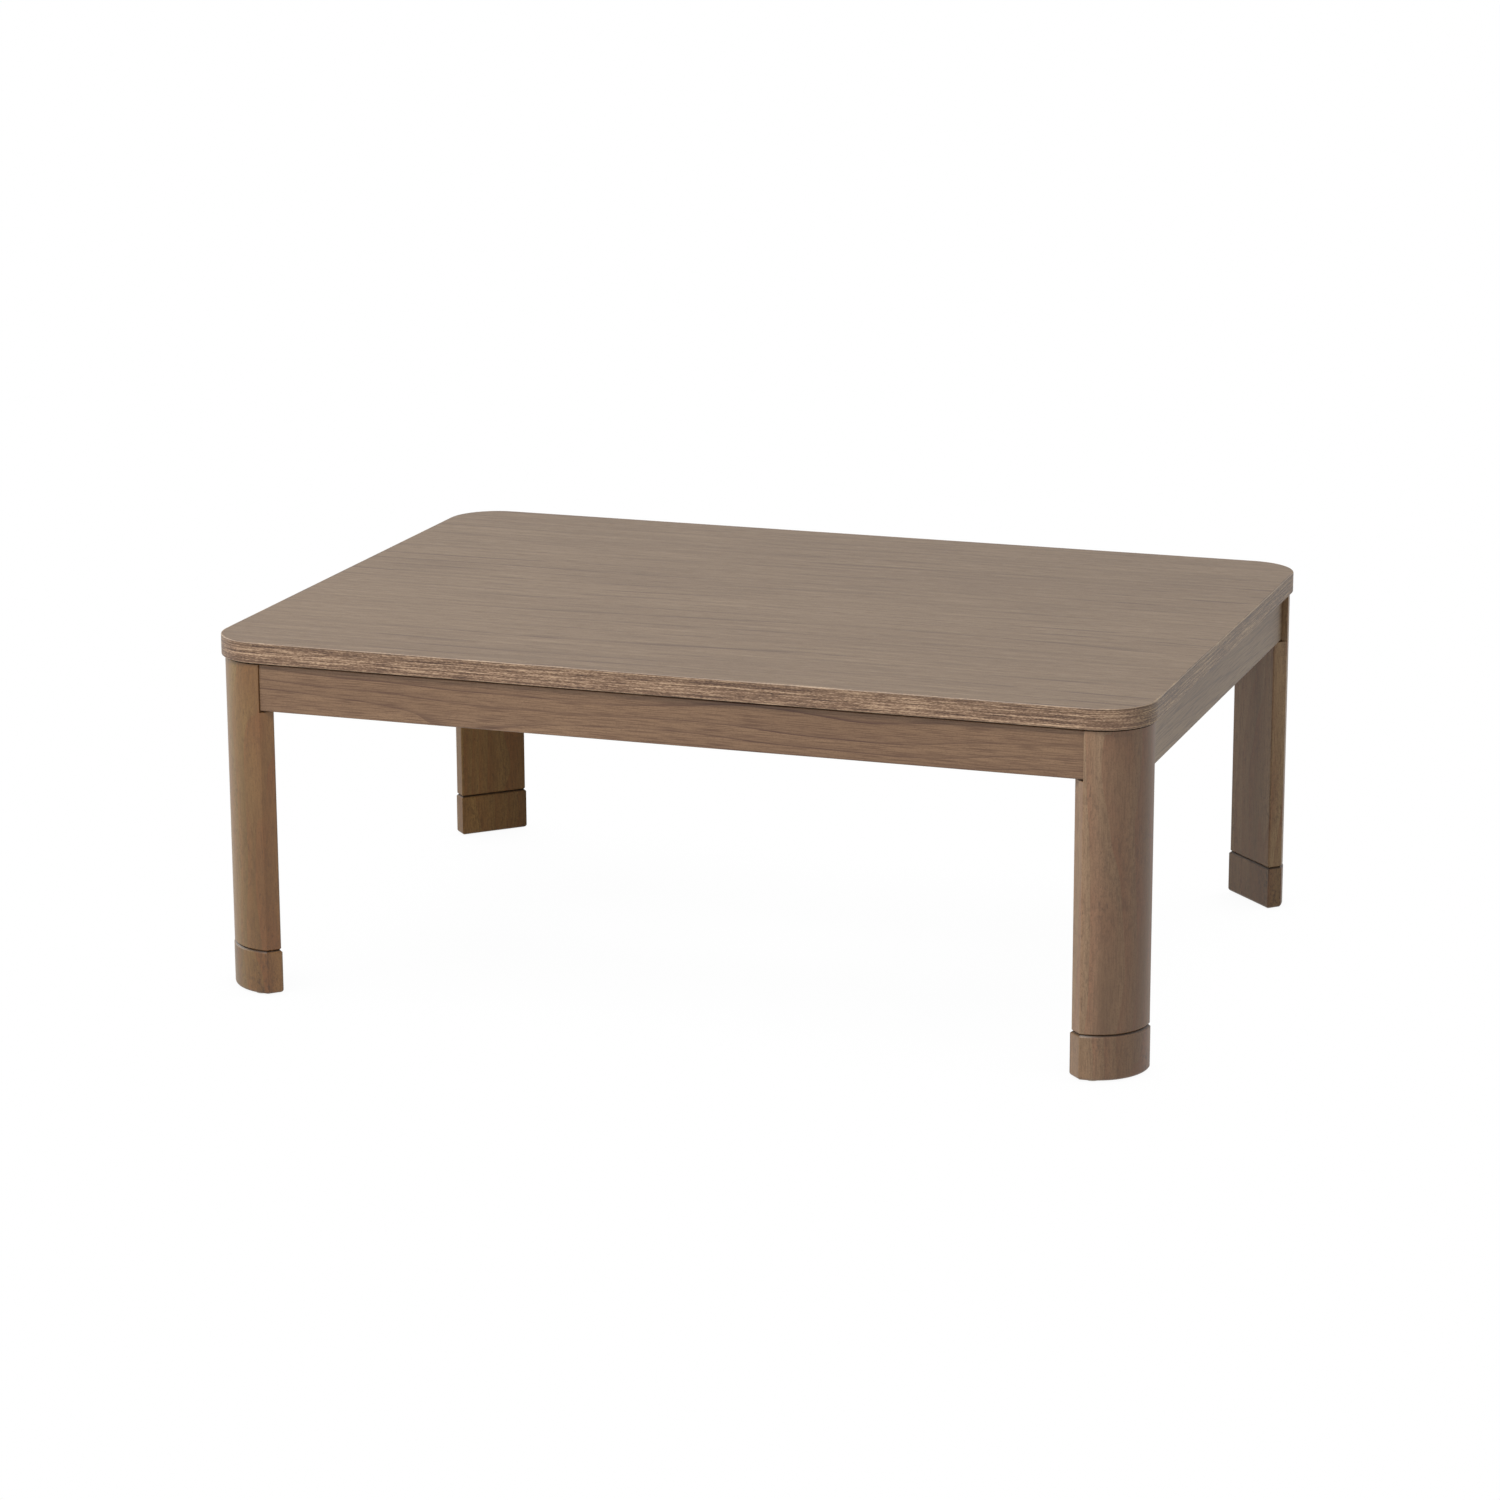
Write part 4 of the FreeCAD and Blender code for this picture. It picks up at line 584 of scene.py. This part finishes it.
DOWEL_SIDES = 40
DOWEL_LOWER_END = ((2.4, 37), (2.9, 37.7))
DOWEL_FLUTES = ((3, 38.6), (3, 60.4))
DOWEL_UPPER_END = ((2.9, 61.3), (2.4, 62))

PAD_SIDES = 40
GLIDE_PAD = ((2.6, 0.7), (2.9, 0.1), (3.3, 0), (6.9, 0), (7.6, 0.25), (8, 0.9), (8, 2.2), (7.7, 2.5))
BUMPER_PAD = ((6.7, 0), (7, 0.3), (7, 2.4), (6.8, 3.2), (6.2, 3.8), (5.4, 4))
NAIL_SIDES = 24
GLIDE_NAIL = ((1, 0.35), (1.9, 0.45), (2.3, 0.7), (1.2, 1.2), (1.2, 13), (0.2, 14.5))


def ring(radius, height, sides, flute=0.0):
    """Points of a circle round the piece's axis, every other one pressed in by the flute's depth."""
    points = []
    for side in range(sides):
        angle = TURN * side / sides
        reach = radius - flute * (side % 2)
        points.append((reach * math.cos(angle), reach * math.sin(angle), height))
    return points


def turned(outline, sides, flute=0.0):
    """Rings of an outline."""
    return [ring(radius * MM, height * MM, sides, flute) for radius, height in outline]


def hexagon_ring(flats, height, sides, round_off=0.0):
    """Points of a hexagon, its corners lowered as a cone would cut them."""
    points = []
    for side in range(sides):
        angle = TURN * side / sides
        radius = flats / 2 / math.cos((angle + TURN / 12) % (TURN / 6) - TURN / 12)
        lowered = (radius - flats / 2) * round_off
        points.append((radius * math.cos(angle), radius * math.sin(angle), height - lowered))
    return points


def skin(form, place, rings, material=0, open_end=None):
    """Joins rings that have as many points each, and closes the ends but for an open one."""
    made = [[form.verts.new(place @ Vector(point)) for point in points] for points in rings]
    faces = [form.faces.new(made[end]) for end in (0, -1) if end != open_end]
    for lower, upper in zip(made, made[1:]):
        for side in range(len(lower)):
            faces.append(form.faces.new((lower[side - 1], lower[side], upper[side], upper[side - 1])))
    for face in faces:
        face.material_index = material


# share of its depth that a thread is cut in at its crest, flank, root and other flank
THREAD_SHARES = (0, 0.5, 1, 0.5)


def thread(form, place, radius, depth, low, high, pitch, sides):
    """Screw thread from low to high along the piece's axis."""
    per_turn = len(THREAD_SHARES)
    rows = (math.ceil((high - low) / pitch) + 2) * per_turn + 1
    columns = []
    for side in range(sides):
        angle = TURN * side / sides
        column = []
        for row in range(rows):
            height = min(max(low + (row / per_turn - 1 + side / sides) * pitch, low), high)
            reach = radius - depth * THREAD_SHARES[row % per_turn]
            if height in (low, high):
                reach = radius - depth
            point = Vector((reach * math.cos(angle), reach * math.sin(angle), height))
            column.append(form.verts.new(place @ point))
        columns.append(column)
    for side in range(sides):
        here = columns[side]
        following = columns[(side + 1) % sides]
        shift = per_turn if side == sides - 1 else 0
        for row in range(rows - 1 - shift):
            beside = row + shift
            form.faces.new((here[row], following[beside], following[beside + 1], here[row + 1]))


# Cross-recessed head: its grid's lines, and the recess's half width and reach, on a square of half side 1
# The dome's drop, the recess's depth and the rise of its floor outwards are shares of the head's height
CROSS_LINES = (
    -1, -0.86, -0.7, -0.56, -0.5, -0.36, -0.2, -0.14, 0, 0.14, 0.2, 0.36, 0.5, 0.56, 0.7, 0.86, 1)
CROSS_WIDTH = 0.15
CROSS_REACH = 0.51
DOME_DROP = 0.55
CROSS_DEPTH = 0.75
CROSS_RISE = 0.3


def on_disc(u, v):
    """Place on a disc of radius 1 of a point on a square of half side 1."""
    return u * math.sqrt(1 - v * v / 2), v * math.sqrt(1 - u * u / 2)


def cross_head(form, place, radius, height):
    """Domed screw head with a cross recess, standing on its seat."""
    last = len(CROSS_LINES) - 1
    grid = {}
    for row, v in enumerate(CROSS_LINES):
        for column, u in enumerate(CROSS_LINES):
            x, y = on_disc(u, v)
            top = height * (1 - DOME_DROP * (x * x + y * y) ** 2)
            near, far = sorted((abs(u), abs(v)))
            if near < CROSS_WIDTH and far < CROSS_REACH:
                top -= height * (CROSS_DEPTH - CROSS_RISE * far)
            grid[column, row] = form.verts.new(place @ Vector((x * radius, y * radius, top)))
    for row in range(last):
        for column in range(last):
            form.faces.new((grid[column, row], grid[column + 1, row], grid[column + 1, row + 1],
                            grid[column, row + 1]))
    rim = [(column, 0) for column in range(last)] + [(last, row) for row in range(last)]
    rim += [(column, last) for column in range(last, 0, -1)] + [(0, row) for row in range(last, 0, -1)]
    seat = []
    for column, row in rim:
        x, y = on_disc(CROSS_LINES[column], CROSS_LINES[row])
        seat.append(form.verts.new(place @ Vector((x * radius, y * radius, 0))))
    for step, at in enumerate(rim):
        form.faces.new((seat[step - 1], seat[step], grid[at], grid[rim[step - 1]]))
    form.faces.new(seat[::-1])


def pointing(place, direction, across=(0, 0, 1)):
    """Frame at a place whose third axis points in a direction."""
    third = Vector(direction).normalized()
    first = Vector(across)
    first = (first - third * first.dot(third)).normalized()
    second = third.cross(first)
    return Matrix.Translation(Vector(place)) @ Matrix((first, second, third)).transposed().to_4x4()


def finished(name, form, materials, body, node):
    """Makes the piece, smooths it but for its sharp edges, and puts it in the CAD node's place."""
    bmesh.ops.remove_doubles(form, verts=form.verts, dist=SAME_POINT)
    bmesh.ops.recalc_face_normals(form, faces=form.faces)
    mesh = bpy.data.meshes.new(name)
    form.to_mesh(mesh)
    form.free()
    mesh.shade_smooth()
    mesh.set_sharp_from_angle(angle=SHARP_ANGLE)
    for material in materials:
        mesh.materials.append(material)
    piece = new_object(name, mesh)
    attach(piece, body)
    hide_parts(node)


# screws, in millimetres: radius and height of the head, radius of the shank, and length
WOOD_SCREW = (4.2, 2.2, 2, 15)
BEZEL_SCREW = (3, 1.5, 1.5, 5)
SCREW_SIDES = 16
# thread's depth and pitch as shares of the shank's radius, and start of the tip as a share of the length
SCREW_THREAD_DEPTH = 0.3
SCREW_PITCH = 0.8
SCREW_TIP_START = 0.88
SCREW_TIP_RADIUS = 0.15 * MM
# from the seat to the thread and to the full shank, and how far the shank runs into the head
SCREW_THREAD_TOP = 0.5 * MM
SCREW_NECK = 0.35 * MM
SCREW_INTO_HEAD = 0.1 * MM

BRACKET_FACE = 29.8 * MM
BRACKET_SCREWS_ALONG = (76.25 * MM, 94.25 * MM)
BRACKET_SCREW_LEVEL = 349 * MM
HEATER_SCREW_X = 157 * MM
HEATER_SCREW_Y = 100 * MM
HEATER_FLANGE_BOTTOM = 352 * MM
BEZEL_FACE = 151.4 * MM
BEZEL_SCREW_LEVEL = 318.8 * MM


def cross_screw(form, place, sizes):
    """Cross-head screw: its seat at the origin, its head towards +Z."""
    head, height, shank, length = (size * MM for size in sizes)
    root = shank * (1 - SCREW_THREAD_DEPTH)
    tip = -length * SCREW_TIP_START
    cross_head(form, place, head, height)
    thread(form, place, shank, shank * SCREW_THREAD_DEPTH, tip, -SCREW_THREAD_TOP, shank * SCREW_PITCH,
           SCREW_SIDES)
    skin(form, place, [ring(SCREW_TIP_RADIUS, -length, SCREW_SIDES), ring(root, tip, SCREW_SIDES)],
         open_end=-1)
    skin(form, place, [ring(root, -SCREW_THREAD_TOP, SCREW_SIDES),
                       ring(shank, -SCREW_NECK, SCREW_SIDES),
                       ring(shank, SCREW_INTO_HEAD, SCREW_SIDES)], open_end=0)


def bracket_screws():
    """Two screws in each wing of each corner bracket."""
    form = bmesh.new()
    for sign_x, sign_y in CORNERS.values():
        face_x = sign_x * (TABLE_HALF_X - BRACKET_FACE)
        face_y = sign_y * (TABLE_HALF_Y - BRACKET_FACE)
        for along in BRACKET_SCREWS_ALONG:
            on_long = (sign_x * (TABLE_HALF_X - along), face_y, BRACKET_SCREW_LEVEL)
            on_short = (face_x, sign_y * (TABLE_HALF_Y - along), BRACKET_SCREW_LEVEL)
            cross_screw(form, pointing(on_long, (0, -sign_y, 0)), WOOD_SCREW)
            cross_screw(form, pointing(on_short, (-sign_x, 0, 0)), WOOD_SCREW)
    finished("bracket_screw_set", form, [ZINC], "frame", "bracket_screws")


def heater_screws():
    """Screws that hold the heater's flange up against the slats."""
    form = bmesh.new()
    for sign_x, sign_y in CORNERS.values():
        seat = (sign_x * HEATER_SCREW_X, sign_y * HEATER_SCREW_Y, HEATER_FLANGE_BOTTOM)
        cross_screw(form, pointing(seat, (0, 0, -1), across=(1, 0, 0)), WOOD_SCREW)
    finished("heater_screw_set", form, [ZINC], "frame", "heater_screws")


def bezel_screws():
    """Screw in the middle of each side of the guard's bezel."""
    form = bmesh.new()
    for x, y in ((1, 0), (-1, 0), (0, 1), (0, -1)):
        seat = (x * BEZEL_FACE, y * BEZEL_FACE, BEZEL_SCREW_LEVEL)
        cross_screw(form, pointing(seat, (x, y, 0)), BEZEL_SCREW)
    finished("bezel_screw_set", form, [ZINC], "frame", "bezel_screws")


BOLT_RADIUS = 4 * MM
BOLT_THREAD_DEPTH = 0.6 * MM
BOLT_PITCH = 1.25 * MM
# leg bolts: from the board's corner to the head's seat, height of each bolt, and the thread's ends
LEG_BOLT_SEAT = 68.07 * MM
LEG_BOLT_LEVELS = (338 * MM, 360 * MM)
LEG_BOLT_THREAD = (-21.4 * MM, -6 * MM)
HEX_HEAD_FLATS = 13 * MM
HEX_HEAD_HEIGHT = 5.5 * MM
HEX_HEAD_SIDES = 36
HEX_CHAMFER = 0.58
# foot bolts: height of the head's end, the thread's ends, the socket's width and ends, the knurl's depth
FOOT_BOLT_LEVEL = 7 * MM
FOOT_BOLT_THREAD = (38.6 * MM, 60.4 * MM)
SOCKET_FLATS = 6 * MM
SOCKET_WALL = (0.4 * MM, 4 * MM)
KNURL_DEPTH = 0.25 * MM
# from the leg's axis to each dowel and each glide, depth of a dowel's flutes, and height of the bumpers
DOWEL_SPREAD = 22 * MM
GLIDE_SPREAD = 26 * MM
DOWEL_FLUTE = 0.22 * MM
BUMPER_LEVEL = 373 * MM


def leg_bolts():
    """Hexagon bolts: head chamfered, collar under it, then thread."""
    form = bmesh.new()
    head = [hexagon_ring(HEX_HEAD_FLATS, 0, HEX_HEAD_SIDES),
            hexagon_ring(HEX_HEAD_FLATS, HEX_HEAD_HEIGHT, HEX_HEAD_SIDES, HEX_CHAMFER)]
    head += turned(LEG_BOLT_DISH, HEX_HEAD_SIDES)
    for sign_x, sign_y in CORNERS.values():
        inward = Vector((-sign_x, -sign_y, 0)).normalized()
        for level in LEG_BOLT_LEVELS:
            corner_point = Vector((sign_x * TABLE_HALF_X, sign_y * TABLE_HALF_Y, level))
            seat = pointing(corner_point + inward * LEG_BOLT_SEAT, inward)
            skin(form, seat, head)
            skin(form, seat, turned(LEG_BOLT_SHANK, BOLT_SIDES), open_end=0)
            thread(form, seat, BOLT_RADIUS, BOLT_THREAD_DEPTH, *LEG_BOLT_THREAD, BOLT_PITCH,
                   BOLT_SIDES)
            skin(form, seat, turned(LEG_BOLT_TIP, BOLT_SIDES), open_end=-1)
    finished("leg_bolt_set", form, [ZINC], "frame", "leg_bolts")


def foot_bolt(corner, sign_x, sign_y):
    """Long socket bolt with a knurled head, which holds the foot to the leg from below."""
    form = bmesh.new()
    seat = Matrix.Translation((sign_x * LEG_AXIS[0], sign_y * LEG_AXIS[1], FOOT_BOLT_LEVEL))
    head = turned(SOCKET_HEAD_TOP, SOCKET_HEAD_SIDES)
    head += turned(SOCKET_HEAD_KNURL, SOCKET_HEAD_SIDES, KNURL_DEPTH)
    head += turned(SOCKET_HEAD_END, SOCKET_HEAD_SIDES)
    head += [hexagon_ring(SOCKET_FLATS, height, SOCKET_HEAD_SIDES) for height in SOCKET_WALL]
    head += turned(SOCKET_FLOOR, SOCKET_HEAD_SIDES)
    skin(form, seat, head)
    skin(form, seat, turned(FOOT_BOLT_SHANK, BOLT_SIDES), open_end=-1)
    thread(form, seat, BOLT_RADIUS, BOLT_THREAD_DEPTH, *FOOT_BOLT_THREAD, BOLT_PITCH, BOLT_SIDES)
    skin(form, seat, turned(FOOT_BOLT_TIP, BOLT_SIDES), open_end=0)
    finished("socket_bolt_" + corner, form, [ZINC], corner + "_foot",
             "foot_bolt_" + corner)


def beside_axis(sign_x, sign_y, spread):
    """Places on the floor to both sides of the leg's axis, along the leg's inner face."""
    axis = Vector((sign_x * LEG_AXIS[0], sign_y * LEG_AXIS[1], 0))
    chord = Vector((sign_x, -sign_y, 0)).normalized()
    return [Matrix.Translation(axis + chord * way) for way in (-spread, spread)]


def foot_dowels(corner, sign_x, sign_y):
    """Fluted dowels that keep the foot from turning."""
    form = bmesh.new()
    dowel = turned(DOWEL_LOWER_END, DOWEL_SIDES)
    dowel += turned(DOWEL_FLUTES, DOWEL_SIDES, DOWEL_FLUTE)
    dowel += turned(DOWEL_UPPER_END, DOWEL_SIDES)
    for place in beside_axis(sign_x, sign_y, DOWEL_SPREAD):
        skin(form, place, dowel)
    finished("fluted_dowels_" + corner, form, [BEECH], corner + "_foot",
             "foot_dowels_" + corner)


def foot_glides(corner, sign_x, sign_y):
    """Nailed glides under the foot."""
    form = bmesh.new()
    for place in beside_axis(sign_x, sign_y, GLIDE_SPREAD):
        skin(form, place, turned(GLIDE_PAD, PAD_SIDES))
        skin(form, place, turned(GLIDE_NAIL, NAIL_SIDES), material=1)
    finished("nailed_glides_" + corner, form, [NYLON, ZINC], corner + "_foot",
             "foot_glides_" + corner)


def bumpers():
    """Rubber bumpers under the board, each with a rounded rim."""
    form = bmesh.new()
    for sign_x, sign_y in CORNERS.values():
        place = Matrix.Translation((sign_x * LEG_AXIS[0], sign_y * LEG_AXIS[1], BUMPER_LEVEL))
        skin(form, place, turned(BUMPER_PAD, PAD_SIDES))
    finished("bumper_set", form, [RUBBER], "frame", "board_bumpers")


TUBE_SPREAD = 50 * MM
TUBE_LEVEL = 329 * MM
COIL_RADIUS = 1.6 * MM
COIL_WIRE = 0.4 * MM
COIL_PITCH = 2.4 * MM
COIL_HALF = 134 * MM
COIL_LEAD_IN = 3 * MM
COIL_REACH = 144.2 * MM
COIL_STEPS = 14
WIRE_SIDES = 6
ON_AXIS = 0.1 * MM


def coil_route():
    """Points of a wound wire along X: straight, wound, and straight again."""
    route = [Vector((-COIL_REACH, 0, 0)), Vector((-COIL_HALF - COIL_LEAD_IN, 0, 0))]
    count = round(2 * COIL_HALF / COIL_PITCH * COIL_STEPS)
    for step in range(count + 1):
        angle = TURN * step / COIL_STEPS
        reach = COIL_RADIUS * min(1, min(step, count - step) / COIL_STEPS)
        route.append(Vector((-COIL_HALF + 2 * COIL_HALF * step / count, reach * math.cos(angle),
                             reach * math.sin(angle))))
    return route + [Vector((COIL_HALF + COIL_LEAD_IN, 0, 0)), Vector((COIL_REACH, 0, 0))]


def wire_ring(middle, first, second):
    """Points round the wire, in the plane of two directions."""
    points = []
    for side in range(WIRE_SIDES):
        angle = TURN * side / WIRE_SIDES
        points.append(middle + (first * math.cos(angle) + second * math.sin(angle)) * COIL_WIRE)
    return points


def heating_coils():
    """Wound heating wire in each tube, drawn out straight at its ends."""
    form = bmesh.new()
    route = coil_route()
    for y in (-TUBE_SPREAD, TUBE_SPREAD):
        rings = []
        for step, point in enumerate(route):
            ahead = (route[min(step + 1, len(route) - 1)] - route[max(step - 1, 0)]).normalized()
            outward = Vector((0, point.y, point.z))
            if outward.length < ON_AXIS:
                outward = Vector((0, 1, 0))
            first = (outward - ahead * outward.dot(ahead)).normalized()
            rings.append(wire_ring(point + Vector((0, y, TUBE_LEVEL)), first, ahead.cross(first)))
        skin(form, Matrix.Identity(4), rings)
    finished("heating_coils", form, [ELEMENT], "frame", "heating_elements")


bracket_screws()
heater_screws()
bezel_screws()
leg_bolts()
bumpers()
heating_coils()
for corner, (sign_x, sign_y) in CORNERS.items():
    foot_bolt(corner, sign_x, sign_y)
    foot_dowels(corner, sign_x, sign_y)
    foot_glides(corner, sign_x, sign_y)


# Floor, world, lamps and camera

FLOOR_HALF = 30.0
FLOOR_WHITE = (0.86, 0.86, 0.86)
# floor's shadow: its reach in metres and its rays, how open the sky is where it is deepest and where it
# ends, and how much light is left at each of the two
SHADOW_REACH = 0.45
SHADOW_RAYS = 12
SHADOW_SKY = (0.15, 0.75)
SHADOW_LIGHT = (0.94, 1.0)
WORLD_STRENGTH = 0.34

# each lamp's place in metres, the side of its square in metres, and its power in watts
LAMPS = {
    "key": ((-0.8, -2.6, 3.8), 1.2, 140),
    "left": ((-3.4, 0.6, 1.5), 2.0, 32),
    "front": ((-1.5, -4.2, 1.3), 1.4, 7),
    "right": ((3.4, -2.6, 1.4), 2.0, 7),
}
LAMP_AIM = (0, 0, 0.3)

# camera: focal length and picture width in the photograph's pixels, film width in millimetres, turns in
# radians, and place and range of sight in metres
FOCAL_PIXELS = 4472.9
PICTURE_PIXELS = 1500
FILM_WIDTH = 36
CAMERA_YAW = 0.335
CAMERA_PITCH = 0.254
CAMERA_ROLL = -0.004
CAMERA_PLACE = (1.5903, -4.6463, 1.5009)
CAMERA_NEAR = 0.1
CAMERA_FAR = 60


def seen_directly(shader):
    """1 for camera rays, and for rays that a gloss or glass sends on, else 0."""
    path = shader.node("LightPath").outputs
    direct = shader.math("MAXIMUM", path["Is Camera Ray"], path["Is Glossy Ray"])
    return shader.math("MAXIMUM", direct, path["Is Transmission Ray"])


def make_floor():
    """White floor that lights the table from below.

    Seen directly, it is clear but for a faint shadow. From below it is clear to all rays."""
    mesh = bpy.data.meshes.new("floor")
    corners = [(x * FLOOR_HALF, y * FLOOR_HALF, 0) for x, y in CORNERS.values()]
    mesh.from_pydata(corners, [], [(0, 1, 2, 3)])
    floor = new_object("floor", mesh)
    shader = Material("floor_white")
    diffuse = shader.node("BsdfDiffuse", None, Color=FLOOR_WHITE).outputs[0]
    sky = shader.node("AmbientOcclusion", {"samples": SHADOW_RAYS}, Distance=SHADOW_REACH)
    shadow = shader.ramp(sky.outputs["AO"], *SHADOW_SKY, *SHADOW_LIGHT)
    clear = shader.node("BsdfTransparent", None, Color=shadow).outputs[0]
    below = shader.node("NewGeometry").outputs["Backfacing"]
    hidden = shader.math("MAXIMUM", below, seen_directly(shader))
    shader.show(shader.blend(hidden, diffuse, clear))
    mesh.materials.append(shader.material)


def make_world():
    """White world that is dimmer where it lights the table than where it is seen directly."""
    world = bpy.data.worlds.new("studio")
    bpy.context.scene.world = world
    world.use_nodes = True
    shader = NodeTree(world.node_tree, "ShaderNodeOutputWorld")
    lit = shader.node("Background", None, Color=WHITE, Strength=WORLD_STRENGTH).outputs[0]
    seen = shader.node("Background", None, Color=WHITE, Strength=1.0).outputs[0]
    shader.show(shader.blend(seen_directly(shader), lit, seen))


def make_lamp(name, place, size, power):
    """Square lamp aimed at the table."""
    data = bpy.data.lights.new(name, "AREA")
    data.shape = "SQUARE"
    data.size = size
    data.energy = power
    lamp = new_object(name, data)
    lamp.location = place
    lamp.rotation_euler = (Vector(LAMP_AIM) - Vector(place)).to_track_quat("-Z", "Y").to_euler()


def make_camera():
    """Camera found by fitting the photograph's edges."""
    data = bpy.data.cameras.new("camera")
    data.sensor_width = FILM_WIDTH
    data.lens = FOCAL_PIXELS / PICTURE_PIXELS * FILM_WIDTH
    data.clip_start = CAMERA_NEAR
    data.clip_end = CAMERA_FAR
    level = math.cos(CAMERA_PITCH)
    ahead = Vector((-math.sin(CAMERA_YAW) * level, math.cos(CAMERA_YAW) * level,
                    -math.sin(CAMERA_PITCH)))
    right = Vector((math.cos(CAMERA_YAW), math.sin(CAMERA_YAW), 0))
    up = right.cross(ahead)
    turned_right = right * math.cos(CAMERA_ROLL) + up * math.sin(CAMERA_ROLL)
    turned_up = up * math.cos(CAMERA_ROLL) - right * math.sin(CAMERA_ROLL)
    axes = Matrix((turned_right, turned_up, -ahead)).transposed().to_4x4()
    camera = new_object("camera", data)
    camera.matrix_world = Matrix.Translation(CAMERA_PLACE) @ axes
    bpy.context.scene.camera = camera


make_floor()
make_world()
for name, (place, size, power) in LAMPS.items():
    make_lamp(name, place, size, power)
make_camera()
bpy.context.scene.view_settings.view_transform = "Standard"
